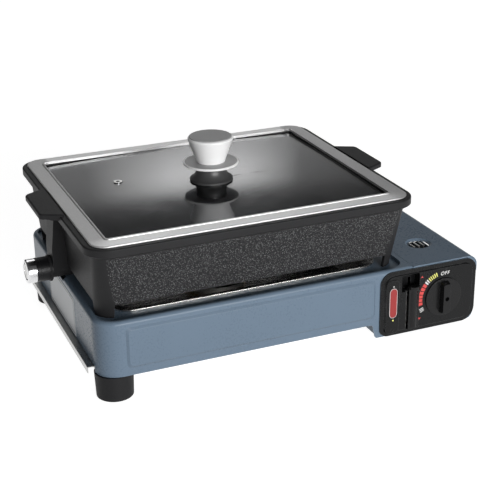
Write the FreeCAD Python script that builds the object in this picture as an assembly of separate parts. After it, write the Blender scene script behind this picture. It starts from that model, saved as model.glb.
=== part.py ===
# Tabletop gas stove for a lying butane cassette, with a deep rectangular pan and a glass lid.
# Millimetres. The model is laid out from the outer front left bottom corner of the steel body:
# X runs right, Y runs back, Z runs up. At the end it moves to the centre of the base.
import FreeCAD, Part
import math
import os

V = FreeCAD.Vector
RIGHT, BACK, UP = V(1, 0, 0), V(0, 1, 0), V(0, 0, 1)

# Fits
touch_gap = 0.3
running_gap = 0.05
seam_gap = 0.4

# Steel body
body_width = 430.0
body_depth = 288.0
body_height = 60.0
body_corner = 24.0
body_sheet = 1.2
rim_width = 5.5
rim_roll = 4.0
ledge_drop = 4.0
ledge_width = 26.0
emboss_margin_left = 28.0
emboss_margin_right = 5.0
emboss_bottom = 8.0
emboss_margin_top = 7.0
emboss_depth = 1.8
emboss_bevel = 2.8
emboss_round = 0.8
emboss_corner = 5.0
notch_gap = 1.5

# Cassette side
cover_width = 80.0
cover_sheet = 1.0
cover_roll = 11.0
cover_lip_rise = 3.5
bay_drop = 16.5
bay_overlap = 40.0
bay_step = 4.0
bay_step_margin = 8.0
bay_bend = 8.0
canister_radius = 33.0
canister_clearance = 1.8
pusher_margin = 26.0
bay_slot_width = 14.0
bay_slot_length = 20.0
bay_slot_pitch = 44.0
bay_slot_start = 96.0
bay_slots = 4
partition_sheet = 1.0

# Cover hinge and vent
hinge_drop = 22.0
hinge_wall_gap = 4.5
hinge_tab_width = 4.0
hinge_tab_sheet = 2.0
hinge_tab_gap = 2.0
hinge_tab_length = 12.0
hinge_rod_radius = 1.5
hinge_eye_wall = 0.7
hinge_barrel_wall = 1.25
hinge_inset = 3.5
hinge_barrel_length = 30.0
hinge_barrel_margin = 26.0
vent_offset = 1.0
vent_y = 55.0
vent_radius = 12.0
dish_radius = 16.0
dish_depth = 1.2
guard_wire = 0.8
guard_pitch = 6.0
guard_gap = 1.5

# Control panel
panel_length = 118.0
panel_right_margin = 1.6
panel_top_margin = 1.7
panel_bottom_margin = 0.2
panel_border = 4.3
panel_base = 1.6
panel_depth = 3.0
tongue_left = 5.6
tongue_width = 16.0
tongue_bottom_margin = 3.5
tongue_top_margin = 9.1
tongue_lift = 1.0
panel_screw_radius = 1.3

# Lever and cassette carriage
lever_travel = 12.0
carriage_travel = 6.0
lever_width = 12.4
lever_from_panel_left = 40.1
lever_foot_margin = 4.1
ledge_lift = 5.8
lever_front = 3.5
lever_thickness = 2.8
column_half_width = 4.8
column_reach = 6.0
ledge_reach = 8.5
ledge_thickness = 3.5
pocket_from_panel_left = 24.6
pocket_top_margin = 5.3
pocket_head = 2.4
pocket_depth = 10.0
slot_from_panel_left = 30.6
arm_sheet = 1.5
arm_length = 26.0
cam_pin_radius = 1.5
cam_y = 14.0
cam_from_lever_foot = 30.2
cam_plate_below = 17.0
cam_plate_above = 5.0
carriage_sheet = 1.0
carriage_width = 14.0

# Gas knob and valve
knob_right_margin = 43.0
knob_radius = 22.0
knob_disc = 1.4
fin_half_width = 4.4
fin_reach = 12.0
fin_half_height = 19.0
fin_hole_radius = 2.5
spindle_radius = 3.0
spindle_depth = 24.0
valve_front = 20.0
valve_length = 42.0
valve_half_width = 19.0
valve_below = 18.5
valve_above = 20.5
dome_height = 3.0
piezo_width = 11.0
piezo_rise = 11.5
dome_radius = 15.0
ear_height = 7.0
socket_radius = 17.0
socket_length = 8.0
inlet_radius = 7.5
inlet_depth = 6.0
collar_width = 9.0
collar_setback = 4.0

# Burner
burner_radius = 34.0
burner_foot_radius = 24.5
cup_wall = 3.0
burner_head_height = 29.6
cap_radius = 36.0
cap_height = 10.0
electrode_radius = 2.5
flame_ports = 24
tube_radius = 8.5
tube_wall = 1.2
jet_from_knob = 29.0
jet_from_valve = 26.0
well_hole = 42.0
well_slope = 9.0
well_seat_share = 0.75
lip_sheet = 1.6
well_sheet = 0.8
bead_radius = 1.2
bracket_width = 20.0
bracket_sheet = 1.2
bracket_tab = 14.0

# Drip tray
tray_sheet = 0.8
tray_rise = 5.0
tray_margin_front = 23.0
tray_margin_back = 27.0
tray_margin_right = 25.0
pull_reach = 7.0
pull_drop = 6.8
bottom_sheet = 0.8
air_slots = 8
air_slot_pitch = 28.0
air_slot_width = 6.0
air_slot_length = 36.0
air_slot_gap = 12.0
rail_hook = 1.2
rail_start = 30.0
rail_end_gap = 25.0
rail_foot = 4.0
rail_cover = 3.0

# Feet
foot_height = 27.0
foot_radius = 20.0
foot_taper = 1.0
foot_inset = 19.0
bay_foot_radius = 16.0
bay_foot_margin = 27.0
bay_foot_inset = 60.0
screw_radius = 2.0
screw_head_radius = 4.0
screw_head_height = 2.4
screw_recess = 6.0
screw_end = 0.4

# Pan
pan_shift_x = -1.6
pan_shift_y = -0.5
pan_overhang_x = 8.6
pan_overhang_y = 11.0
pan_rim_corner = 26.0
pan_rim_height = 11.0
pan_rim_chamfer = 3.0
pan_rim_step = 2.5
pan_height = 83.1
pan_lip_x = 8.0
pan_lip_y = 7.0
pan_mouth_corner = 18.0
pan_draft_x = 4.0
pan_draft_y = 18.0
pan_foot_corner = 21.0
pan_wall = 4.0
pan_floor_height = 23.7
pan_floor_thickness = 4.5
leg_height = 15.5
leg_width = 16.0
lug_reach = 18.8
lug_base = 85.0
lug_tip = 65.0
lug_rise = 2.0
lug_thickness = 5.5
lug_corner = 7.0

# Drain
drain_height = 11.2
drain_port_inset = 9.0
drain_radius = 13.0
drain_boss_radius = 11.0
drain_bore = 5.0
drain_boss_reach = 9.0
drain_tube_reach = 26.0
drain_cap_reach = 36.0
drain_ring_radius = 14.2
drain_ring_width = 2.0
buttress_top_reach = 4.0
buttress_knee = 35.7
buttress_half_width = 13.0
plug_length = 6.0

# Lid
lid_inset_x = 6.6
lid_inset_y = 5.7
lid_corner = 17.0
lid_border = 17.5
lid_sheet = 1.6
lid_bead_width = 2.0
lid_bead_height = 1.2
lid_inner_corner = 3.0
glass_overlap = 4.0
glass_thickness = 4.0
glass_rise = 1.1
glass_curve = 6500.0
seal_wall = 1.5
seal_height = 7.0
eyelet_dx = -94.0
eyelet_dy = 32.5
eyelet_radius = 5.0
eyelet_hole = 2.0

# Lid handle
handle_dx = 1.5
handle_dy = -3.0
handle_foot_radius = 23.5
handle_neck_radius = 16.8
handle_foot_height = 18.2
saucer_radius = 30.25
saucer_height = 2.6
saucer_pad_radius = 28.6
saucer_pad_height = 0.6
grip_low_radius = 15.4
grip_high_radius = 25.4
grip_height = 27.6
grip_cap_radius = 23.0
grip_cap_height = 1.0
lid_bolt_radius = 2.5
lid_bolt_head = 5.0
washer_radius = 9.0
washer_height = 1.5

# Label plate on the left wall
label_front = 89.0
label_back = 194.0
label_bottom = 8.0
label_top_margin = 8.5
label_sheet = 0.3

# Places that follow from the sizes above
ledge_z = body_height - ledge_drop
seam_x = body_width - cover_width
bay_left = seam_x - bay_overlap
bay_floor = body_sheet - bay_drop
cover_under = body_height - cover_sheet
hinge_x = body_width - hinge_inset
hinge_z = body_height - hinge_drop
cover_lip_z = hinge_z + cover_lip_rise
bay_wall_top = hinge_z - hinge_wall_gap

panel_right = body_width - panel_right_margin
panel_left = panel_right - panel_length
panel_bottom = panel_bottom_margin - bay_drop
panel_top = body_height - panel_top_margin
pocket_left = panel_left + pocket_from_panel_left
slot_left = panel_left + slot_from_panel_left
lever_centre = panel_left + lever_from_panel_left
pocket_top = panel_top - pocket_top_margin
pocket_low = pocket_top - pocket_head - lever_travel - ledge_lift
lever_bottom = panel_bottom + lever_foot_margin
lever_top = pocket_low + ledge_lift
cam_z = lever_bottom + cam_from_lever_foot

knob_x = body_width - knob_right_margin
knob_height = bay_floor + canister_clearance + canister_radius
vent_x = knob_x + vent_offset
valve_back = valve_front + valve_length
valve_bottom = knob_height - valve_below
valve_top = knob_height + valve_above
carriage_z = bay_floor + touch_gap

burner_x = seam_x / 2
burner_y = body_depth / 2
tray_floor = bottom_sheet + touch_gap
tray_front = tray_margin_front
tray_back = body_depth - tray_margin_back
tray_reach = seam_x - tray_margin_right
rail_top = tray_floor + tray_rise + rail_hook
bracket_z = rail_top + touch_gap
burner_base = bracket_z + bracket_sheet
burner_top = burner_base + burner_head_height
tube_height = burner_base + tube_radius
jet_x = knob_x - jet_from_knob
jet_y = valve_front + jet_from_valve
bay_foot_x = body_width - bay_foot_margin

pan_x = seam_x / 2 + pan_shift_x
pan_y = body_depth / 2 + pan_shift_y
pan_rim_length = seam_x - 2 * rim_width + 2 * pan_overhang_x
pan_rim_depth = body_depth - 2 * rim_width + 2 * pan_overhang_y
pan_mouth_length = pan_rim_length - 2 * pan_lip_x
pan_mouth_depth = pan_rim_depth - 2 * pan_lip_y
pan_foot_length = pan_mouth_length - 2 * pan_draft_x
pan_foot_depth = pan_mouth_depth - 2 * pan_draft_y
pan_foot_z = ledge_z + touch_gap
pan_top = pan_foot_z + pan_height
pan_rim_bottom = pan_top - pan_rim_height
pan_floor = pan_foot_z + pan_floor_height
skirt_bottom = pan_foot_z + leg_height
lug_top = pan_top + lug_rise
drain_z = pan_foot_z + drain_height
lid_length = pan_rim_length - 2 * lid_inset_x
lid_depth = pan_rim_depth - 2 * lid_inset_y
lid_z = pan_top + touch_gap
glass_crown = lid_z + glass_rise
handle_x = pan_x + handle_dx
handle_y = pan_y + handle_dy


def flat(z):
    """Plane facing up at height z."""
    return (lambda a, b: V(a, b, z)), UP


def front(y):
    """Plane facing back at depth y, with corners given as x and z."""
    return (lambda a, b: V(a, y, b)), BACK


def side(x):
    """Plane facing right at x, with corners given as y and z."""
    return (lambda a, b: V(x, a, b)), RIGHT


def ring(corners, plane):
    """Closed wire through corners (a, b, radius), each rounded by a tangent arc."""
    place = plane[0]
    ends = []
    edges = []
    for i, (a, b, radius) in enumerate(corners):
        here = V(a, b, 0)
        before = V(corners[i - 1][0], corners[i - 1][1], 0) - here
        after = V(corners[(i + 1) % len(corners)][0], corners[(i + 1) % len(corners)][1], 0) - here
        before.normalize()
        after.normalize()
        if radius == 0:
            ends.append((here, None, here))
            continue
        half = before.getAngle(after) / 2
        inward = before + after
        inward.normalize()
        reach = radius / math.tan(half)
        middle = here + inward * (radius / math.sin(half) - radius)
        ends.append((here + before * reach, middle, here + after * reach))
    for i, (start, middle, end) in enumerate(ends):
        if middle is not None:
            arc = Part.Arc(place(start.x, start.y), place(middle.x, middle.y), place(end.x, end.y))
            edges.append(arc.toShape())
        following = ends[(i + 1) % len(ends)][0]
        if end.distanceToPoint(following) > 1e-6:
            edges.append(Part.makeLine(place(end.x, end.y), place(following.x, following.y)))
    return Part.Wire(edges)


def rect(a0, a1, b0, b1, radius=0):
    """Corners of a rectangle, all with one radius."""
    return [(a0, b0, radius), (a1, b0, radius), (a1, b1, radius), (a0, b1, radius)]


def middle_rect(a, b, length, depth, radius=0):
    """Corners of a rectangle about a centre."""
    return rect(a - length / 2, a + length / 2, b - depth / 2, b + depth / 2, radius)


def prism(corners, plane, low, high):
    """Solid between two heights over a cornered outline."""
    placed = plane(low)
    return Part.Face(ring(corners, placed)).extrude(placed[1] * (high - low))


def taper(low_corners, low, high_corners, high, plane=flat):
    """Solid that runs straight from one outline to another."""
    return Part.makeLoft([ring(low_corners, plane(low)), ring(high_corners, plane(high))], True, True)


def box(x0, x1, y0, y1, z0, z1):
    """Block between two corners."""
    return Part.makeBox(x1 - x0, y1 - y0, z1 - z0, V(x0, y0, z0))


def rod(start, end, radius, end_radius=None):
    """Round bar between two points, or a cone if the end radius differs."""
    run = end - start
    if end_radius is None:
        return Part.makeCylinder(radius, run.Length, start, run)
    return Part.makeCone(radius, end_radius, run.Length, start, run)


def joined(first, *others):
    """One solid from pieces that overlap or share faces."""
    return first.fuse(list(others)).removeSplitter()


def group(solids):
    """Separate equal solids under one name."""
    return Part.makeCompound(solids)


def rounded(shape, radius, chosen):
    """Fillet of the edges that a test picks."""
    return shape.makeFillet(radius, [edge for edge in shape.Edges if chosen(edge)])


def at_height(z):
    """Test for edges that lie wholly at height z."""
    return lambda edge: abs(edge.BoundBox.ZMin - z) < 1e-4 and abs(edge.BoundBox.ZMax - z) < 1e-4


# Steel body: one pressed and folded sheet with a rolled top rim, a sunken ledge that the pan
# stands on, and front and rear walls that step down round the cassette bay.
def wall_outline():
    step_x = bay_left - bay_step_margin
    right = body_width - cover_sheet - touch_gap
    top = cover_under - touch_gap
    return [
        (body_corner, 0, 0),
        (step_x, 0, 3),
        (step_x + bay_step, -bay_drop, 3),
        (right, -bay_drop, 12),
        (right, top, cover_roll - cover_sheet - touch_gap),
        (seam_x, top, 0),
        (seam_x, body_height - rim_roll, 0),
        (body_corner, body_height - rim_roll, 0),
    ]


def emboss(grow):
    """Raised field of the front wall, grown or shrunk to give its outside and its inside."""
    x0, x1 = emboss_margin_left - grow, bay_left - emboss_margin_right + grow
    z0, z1 = emboss_bottom - grow, body_height - emboss_margin_top + grow
    corner = emboss_corner + grow
    outer = rect(x0, x1, z0, z1, corner)
    inner = rect(x0 + emboss_bevel, x1 - emboss_bevel, z0 + emboss_bevel, z1 - emboss_bevel, corner)
    field = taper(inner, -emboss_depth, outer, 0, front)
    return rounded(field, emboss_round, lambda e: e.BoundBox.YMax < -emboss_depth + 1e-4)


def body_plan(inset):
    corner = max(body_corner - inset, 1)
    right = seam_x - inset
    return [
        (inset, inset, corner),
        (right, inset, 0),
        (right, body_depth - inset, 0),
        (inset, body_depth - inset, corner),
    ]


def recess_plan(grow=0.0):
    near = rim_width - grow
    return rect(near, seam_x - near, near, body_depth - near, body_corner - near)


def body_shell():
    shell = prism(body_plan(0), flat, 0, body_height)
    top_edges = [e for e in shell.Edges if at_height(body_height)(e) and e.BoundBox.XMin < seam_x - 1]
    shell = shell.makeFillet(rim_roll, top_edges)
    under_rim = prism(body_plan(body_sheet), flat, -1, body_height - body_sheet)
    under_rim = under_rim.cut(prism(recess_plan(body_sheet), flat, -2, body_height))
    under_rim = under_rim.common(prism(body_plan(rim_roll / 4), flat, -1, body_height - body_sheet))
    cavity = prism(body_plan(body_sheet), flat, -1, ledge_z - body_sheet)
    low_rim = prism(body_plan(body_sheet), flat, -1, body_height - rim_roll)
    low_rim = low_rim.cut(prism(recess_plan(body_sheet), flat, -2, body_height))
    shell = shell.cut([cavity, low_rim])
    shell = shell.cut(under_rim.common(prism(body_plan(rim_roll), flat, 0, body_height)))
    shell = shell.cut(prism(recess_plan(), flat, ledge_z, body_height + 1))
    opening = rect(rim_width + ledge_width, seam_x - rim_width - ledge_width,
                   rim_width + ledge_width, body_depth - rim_width - ledge_width, body_corner)
    shell = shell.cut(prism(opening, flat, 0, body_height))
    front_wall = prism(wall_outline(), front, 0, body_sheet)
    rear_wall = prism(wall_outline(), front, body_depth - body_sheet, body_depth)
    shell = joined(shell, front_wall, rear_wall)
    shell = shell.cut(box(seam_x - body_sheet - 1, seam_x + 1, body_sheet, body_depth - body_sheet,
                          -1, ledge_z - body_sheet))
    shell = joined(shell, emboss(0)).cut(emboss(0).translated(V(0, body_sheet, 0)))
    return shell.cut([drain_notch(), tray_mouth(), lever_window(), knob_window()]).removeSplitter()


def drain_notch():
    """Way through the rim for the pan's drain tube, open at the top."""
    half = buttress_half_width + notch_gap
    floor = drain_z - drain_boss_radius - notch_gap
    return box(-1, rim_width + 1, pan_y - half, pan_y + half, floor, body_height + 1)


def tray_mouth():
    """Low slot in the left wall that the drip tray slides through."""
    top = tray_floor + tray_rise + 2 * touch_gap
    return box(-1, body_corner, tray_front - 2, tray_back + 2, -1, top).common(
        box(-1, body_sheet + 3, 0, body_depth, -1, top))


def lever_window():
    """Window behind the lever, in the front wall."""
    x0, x1 = pocket_left - body_sheet - touch_gap, lever_centre + lever_width / 2 + 2
    z0, z1 = lever_bottom - 1, pocket_top + body_sheet + touch_gap
    return box(x0, x1, -1, body_sheet + 1, z0, z1)


def knob_window():
    """Round hole in the front wall for the gas spindle."""
    return rod(V(knob_x, -1, knob_height), V(knob_x, body_sheet + 1, knob_height), spindle_radius * 2)


# Bottom plate: flat sheet inside the walls, with air slots below the burner.
def bottom_plate():
    gap = body_sheet + touch_gap
    corner = body_corner - gap
    plan = [
        (gap, gap, corner),
        (bay_left - touch_gap, gap, 0),
        (bay_left - touch_gap, body_depth - gap, 0),
        (gap, body_depth - gap, corner),
    ]
    plate = prism(plan, flat, 0, bottom_sheet)
    slots = []
    for row_y in (burner_y - air_slot_gap - air_slot_length, burner_y + air_slot_gap):
        for column in range(air_slots):
            x = burner_x + (column - (air_slots - 1) / 2) * air_slot_pitch
            plan = rect(x, x + air_slot_width, row_y, row_y + air_slot_length, air_slot_width / 2 - 0.1)
            slots.append(prism(plan, flat, -1, bottom_sheet + 1))
    holes = [rod(V(x, y, -1), V(x, y, 2), screw_radius) for x, y in left_feet()]
    return plate.cut(slots + holes)


# Bay tray: folded floor and right wall below and beside the cassette.
def bay_tray():
    gap = body_sheet + touch_gap
    t = body_sheet
    wall_x = body_width - cover_sheet - touch_gap
    profile = [
        (bay_left, bottom_sheet, 0),
        (bay_left, -bay_drop, 0),
        (wall_x, -bay_drop, bay_bend),
        (wall_x, bay_wall_top, 0),
        (wall_x - t, bay_wall_top, 0),
        (wall_x - t, bay_floor, bay_bend - t),
        (bay_left + t, bay_floor, 0),
        (bay_left + t, bottom_sheet, 0),
    ]
    tray = prism(profile, front, gap, body_depth - gap)
    tray = tray.cut([rod(V(x, y, -bay_drop - 1), V(x, y, 0), screw_radius) for x, y in bay_feet()])
    slots = []
    for i in range(bay_slots):
        y = bay_slot_start + i * bay_slot_pitch
        plan = rect(knob_x - bay_slot_width / 2, knob_x + bay_slot_width / 2, y, y + bay_slot_length,
                    bay_slot_width / 2 - 0.1)
        slots.append(prism(plan, flat, -bay_drop - 1, bay_floor + 1))
    return tray.cut(slots)


# Heat shield between the burner side and the cassette bay.
def partition():
    x0 = seam_x - rim_width
    gap = body_sheet + touch_gap
    sheet = box(x0 - partition_sheet, x0, gap, body_depth - gap, bay_floor, ledge_z - body_sheet)
    clear = rod(jet_point(0), burner_point(0), tube_radius + 3)
    low = pocket_low - body_sheet - touch_gap
    pocket_way = box(x0 - 9, x0 + 9, 0, pocket_depth + touch_gap, low, body_height)
    return sheet.cut([clear, pocket_way])


def left_feet():
    return [(foot_inset, foot_inset), (foot_inset, body_depth - foot_inset)]


def bay_feet():
    return [(bay_foot_x, bay_foot_inset), (bay_foot_x, body_depth - bay_foot_inset)]


# Feet: tapered moulded plastic, screwed on from below through a recess.
def foot(place, radius, top):
    x, y = place
    body = rod(V(x, y, -foot_height), V(x, y, top), radius - foot_taper, radius)
    body = rounded(body, 0.6, at_height(-foot_height))
    recess = rod(V(x, y, -foot_height - 1), V(x, y, -foot_height + screw_recess), screw_head_radius + 1)
    return body.cut([recess, rod(V(x, y, -foot_height), V(x, y, top + 1), screw_radius)])


def foot_screw(place, top):
    x, y = place
    seat = -foot_height + screw_recess
    head = rod(V(x, y, seat - screw_head_height), V(x, y, seat), screw_head_radius)
    shank = rod(V(x, y, seat), V(x, y, top), screw_radius)
    cross = box(x - 2.4, x + 2.4, y - 0.5, y + 0.5, seat - 3, seat - 1.2)
    return joined(head, shank).cut([cross, cross.rotated(V(x, y, 0), UP, 90)])


# Burner well: bright pressed dish that hangs in the body's opening by a beaded flange.
def burner_well():
    inset = rim_width + ledge_width
    edge = rim_width + ledge_width * well_seat_share
    wide = edge + lip_sheet
    x0, x1 = inset + touch_gap, seam_x - inset - touch_gap
    y0, y1 = inset + touch_gap, body_depth - inset - touch_gap
    corner = body_corner - touch_gap
    base = tube_height + tube_radius + touch_gap
    slope = well_slope
    outer = taper(rect(x0 + slope, x1 - slope, y0 + slope, y1 - slope, corner), base,
                  rect(x0, x1, y0, y1, corner), ledge_z + well_sheet)
    t = well_sheet
    inner = taper(rect(x0 + slope + t, x1 - slope - t, y0 + slope + t, y1 - slope - t, corner - t),
                  base + t, rect(x0 + t, x1 - t, y0 + t, y1 - t, corner - t), ledge_z + 2 * t)
    flange = prism(rect(edge, seam_x - edge, edge, body_depth - edge, corner), flat,
                   ledge_z, ledge_z + t)
    lip = prism(rect(edge, seam_x - edge, edge, body_depth - edge, corner), flat,
                ledge_z, ledge_z + 2 * bead_radius)
    lip = lip.cut(prism(rect(wide, seam_x - wide, wide, body_depth - wide, corner - lip_sheet), flat,
                        ledge_z - 1, body_height))
    lip = rounded(lip, 0.7, at_height(ledge_z + 2 * bead_radius))
    dish = joined(outer, flange, lip).cut(inner)
    hole = rod(V(burner_x, burner_y, 0), V(burner_x, burner_y, body_height), well_hole)
    return dish.cut(hole)


def jet_point(along):
    """Point on the gas line, measured from the jet towards the burner."""
    jet = V(jet_x, jet_y, tube_height)
    run = V(burner_x, burner_y, tube_height) - jet
    run.normalize()
    return jet + run * along


def burner_point(along):
    """Point on the gas line, measured from the burner's axis towards the jet."""
    centre = V(burner_x, burner_y, tube_height)
    run = V(jet_x, jet_y, tube_height) - centre
    run.normalize()
    return centre + run * along


# Burner bracket: strip from the front wall to the rear wall, over the drip tray.
def burner_bracket():
    x0, x1 = burner_x - bracket_width / 2, burner_x + bracket_width / 2
    y0, y1 = body_sheet, body_depth - body_sheet
    strip = box(x0, x1, y0, y1, bracket_z, burner_base)
    tabs = [box(x0, x1, y0, y0 + bracket_sheet, bracket_z, bracket_z + bracket_tab),
            box(x0, x1, y1 - bracket_sheet, y1, bracket_z, bracket_z + bracket_tab)]
    return joined(strip, *tabs)


# Burner head: cast cup that takes the mixing tube.
def cup_radius(z):
    """Outer radius of the flared burner cup at a height."""
    share = (z - burner_base) / burner_head_height
    return burner_foot_radius + (burner_radius - burner_foot_radius) * share


def burner_head():
    x, y = burner_x, burner_y
    wall = cup_wall
    cup = rod(V(x, y, burner_base), V(x, y, burner_top), burner_foot_radius, burner_radius)
    hollow = rod(V(x, y, burner_base + wall), V(x, y, burner_top + 1), burner_foot_radius - wall,
                 burner_radius - wall)
    sleeve = rod(burner_point(burner_foot_radius - wall - 3), burner_point(burner_radius + 6),
                 tube_radius + 2.5)
    sleeve = sleeve.cut(rod(V(x, y, 0), V(x, y, body_height), burner_foot_radius - wall))
    bore = rod(burner_point(10), burner_point(burner_radius + 8), tube_radius)
    return joined(cup.cut(hollow), sleeve).cut(bore)


# Burner cap: brass crown with radial flame ports.
def burner_cap():
    x, y = burner_x, burner_y
    base = burner_top
    crown = rod(V(x, y, base), V(x, y, base + cap_height), cap_radius, cap_radius - 5)
    crown = rounded(crown, 1.5, at_height(base + cap_height))
    inside = rod(V(x, y, base - 1), V(x, y, base + cap_height - 3), cap_radius - 8)
    crown = crown.cut([inside, rod(V(x, y, base), V(x, y, base + 20), 6)])
    ports = []
    for i in range(flame_ports):
        port = box(x + cap_radius - 12, x + cap_radius + 2, y - 0.9, y + 0.9, base + 3, base + 7)
        ports.append(port.rotated(V(x, y, 0), UP, i * 360.0 / flame_ports))
    return crown.cut(ports)


# Mixing tube: straight pipe with a flared air inlet at the jet.
def mixing_tube():
    far = (burner_point(0) - jet_point(0)).Length
    pipe = rod(jet_point(8), jet_point(far - 22), tube_radius)
    bell = rod(jet_point(2), jet_point(10), tube_radius + 3, tube_radius)
    bore = rod(jet_point(7), jet_point(far), tube_radius - tube_wall)
    throat = rod(jet_point(1), jet_point(9), tube_radius + 2, tube_radius - tube_wall)
    return joined(pipe, bell).cut([bore, throat])


# Gas jet: brass nozzle on an arm of the valve, aimed down the mixing tube.
def gas_jet():
    feed = rod(jet_point(-9), jet_point(-2), 5)
    nose = rod(jet_point(-2), jet_point(4), 4, 1.6)
    stem_end = V(knob_x - valve_half_width, jet_y, tube_height)
    stem = rod(jet_point(-6), stem_end, 3.2)
    return joined(feed, nose, stem).cut(valve_body())


# Gas valve and pressure governor behind the control panel.
def valve_body():
    block = box(knob_x - valve_half_width, knob_x + valve_half_width, valve_front, valve_back,
                valve_bottom, valve_top)
    block = rounded(block, 3, lambda e: abs(e.BoundBox.YLength - (valve_back - valve_front)) < 1e-4)
    socket = rod(V(knob_x, valve_back, knob_height), V(knob_x, valve_back + socket_length, knob_height),
                 socket_radius)
    dome_y = (valve_front + valve_back) / 2
    dome = rod(V(knob_x, dome_y, valve_top), V(knob_x, dome_y, valve_top + dome_height), dome_radius,
               dome_radius - 2)
    inlet_start = valve_back + socket_length - inlet_depth
    inlet = rod(V(knob_x, inlet_start, knob_height), V(knob_x, valve_back + 20, knob_height), inlet_radius)
    bore = rod(V(knob_x, valve_front - 1, knob_height),
               V(knob_x, spindle_depth + touch_gap, knob_height), spindle_radius + running_gap)
    ears = []
    posts = []
    for z in (valve_bottom, valve_top - ear_height):
        ears.append(box(knob_x - valve_half_width - ear_height, knob_x + valve_half_width + ear_height,
                        body_sheet, body_sheet + 2.5, z, z + ear_height))
        for way in (-1, 1):
            post_x = knob_x + way * (valve_half_width - 4)
            posts.append(box(post_x - 3, post_x + 3, body_sheet, valve_front + 1, z, z + ear_height))
    return joined(block, socket, dome, *ears, *posts).cut([inlet, bore])


# Collar guide: ring plate on the socket with the key that turns a cassette the right way up.
def collar_guide():
    y = valve_back + socket_length - collar_setback
    plate = rod(V(knob_x, y, knob_height), V(knob_x, y + body_sheet, knob_height), socket_radius + collar_width)
    plate = plate.cut(rod(V(knob_x, y - 1, knob_height), V(knob_x, y + 4, knob_height), socket_radius))
    key = box(knob_x - 3, knob_x + 3, y, y + 8, knob_height + socket_radius + 3,
              knob_height + socket_radius + 6)
    return joined(plate, key)


# Spark unit on top of the valve.
def piezo_igniter():
    side_x = knob_x - valve_half_width
    axis_x = side_x - piezo_width / 2
    y0, y1 = valve_front + 6, valve_front + 20
    axis_z = knob_height + piezo_rise
    body = box(side_x - piezo_width, side_x, y0, y1, axis_z - 8, axis_z + 8)
    nose = rod(V(axis_x, y0 - 14, axis_z), V(axis_x, y0, axis_z), piezo_width / 2 - 0.5)
    tail = rod(V(axis_x, y1, axis_z), V(axis_x, y1 + 6, axis_z), piezo_width / 3)
    return joined(body, nose, tail)


# Spark electrode: ceramic sleeve with a steel tip, clipped to the burner cup.
def spark_electrode():
    x, y = burner_x - cap_radius - 1.6, burner_y
    low = burner_base + 12
    sleeve = rod(V(x, y, low), V(x, y, burner_top - 2), electrode_radius)
    sleeve = joined(sleeve, rod(V(x, y, low + 6), V(x, y, low + 9), electrode_radius + 1))
    tip = rod(V(x, y, burner_top - 3), V(x, y, burner_top + cap_height + 1), 0.7)
    point = rod(V(x - 0.7, y, burner_top + cap_height + 1), V(x + 5, y, burner_top + cap_height + 2.4), 0.7)
    clip = box(x - 2, burner_x - cup_radius(low + 3.2) - 0.1, y - 5, y + 5, low + 2, low + 3.2)
    return joined(sleeve, tip, point, clip)


# Cassette cover: rolled sheet from the seam to the right edge, hinged along that edge.
def hinge_spans():
    near = hinge_barrel_margin
    far = body_depth - hinge_barrel_margin - hinge_barrel_length
    return [(near, near + hinge_barrel_length), (far, far + hinge_barrel_length)]


def cover():
    x0, x1, top = seam_x + seam_gap, body_width, body_height
    t = cover_sheet
    profile = [
        (x0, top - t, 0),
        (x1 - t, top - t, cover_roll - t),
        (x1 - t, cover_lip_z, 0),
        (x1, cover_lip_z, 0),
        (x1, top, cover_roll),
        (x0, top, 0),
    ]
    sheet = prism(profile, front, 0, body_depth)
    barrel = hinge_rod_radius + running_gap + hinge_barrel_wall
    knuckles = []
    bores = []
    for y0, y1 in hinge_spans():
        knuckles.append(rod(V(hinge_x, y0, hinge_z), V(hinge_x, y1, hinge_z), barrel))
        knuckles.append(box(hinge_x, x1, y0, y1, hinge_z, hinge_z + t))
        knuckles.append(box(x1 - t, x1, y0, y1, hinge_z, cover_lip_z + t))
        bores.append(rod(V(hinge_x, y0 - 1, hinge_z), V(hinge_x, y1 + 1, hinge_z),
                         hinge_rod_radius + running_gap))
    sheet = joined(sheet, *knuckles)
    centre = V(vent_x, vent_y, 0)
    low = top - dish_depth - t
    dish = rod(centre + UP * low, centre + UP * top, vent_radius + 1, dish_radius)
    carve = rod(centre + UP * (low + t), centre + UP * (top + t), vent_radius + 1, dish_radius)
    vent = rod(centre + UP * (low - 5), centre + UP * (top + 5), vent_radius)
    return joined(sheet, dish).cut([carve, vent] + bores)


def cover_hinge_rod():
    y0, y1 = body_sheet + touch_gap, body_depth - body_sheet - touch_gap
    return rod(V(hinge_x, y0, hinge_z), V(hinge_x, y1, hinge_z), hinge_rod_radius)


# Hinge brackets: tabs that stand on the bay's right wall and hold the rod.
def hinge_brackets():
    wall_x = body_width - cover_sheet - touch_gap - body_sheet
    t = hinge_tab_sheet
    spots = []
    for y0, y1 in hinge_spans():
        spots += [y0 - hinge_tab_gap - t, y1 + hinge_tab_gap]
    tabs = []
    for y in spots:
        tab = box(wall_x - hinge_tab_width, wall_x, y, y + t, bay_wall_top - hinge_tab_length, hinge_z)
        eye = rod(V(hinge_x, y, hinge_z), V(hinge_x, y + t, hinge_z), hinge_rod_radius + hinge_eye_wall)
        hole = rod(V(hinge_x, y - 1, hinge_z), V(hinge_x, y + t + 1, hinge_z), hinge_rod_radius)
        tabs.append(joined(tab, eye).cut(hole))
    return group(tabs)


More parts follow.
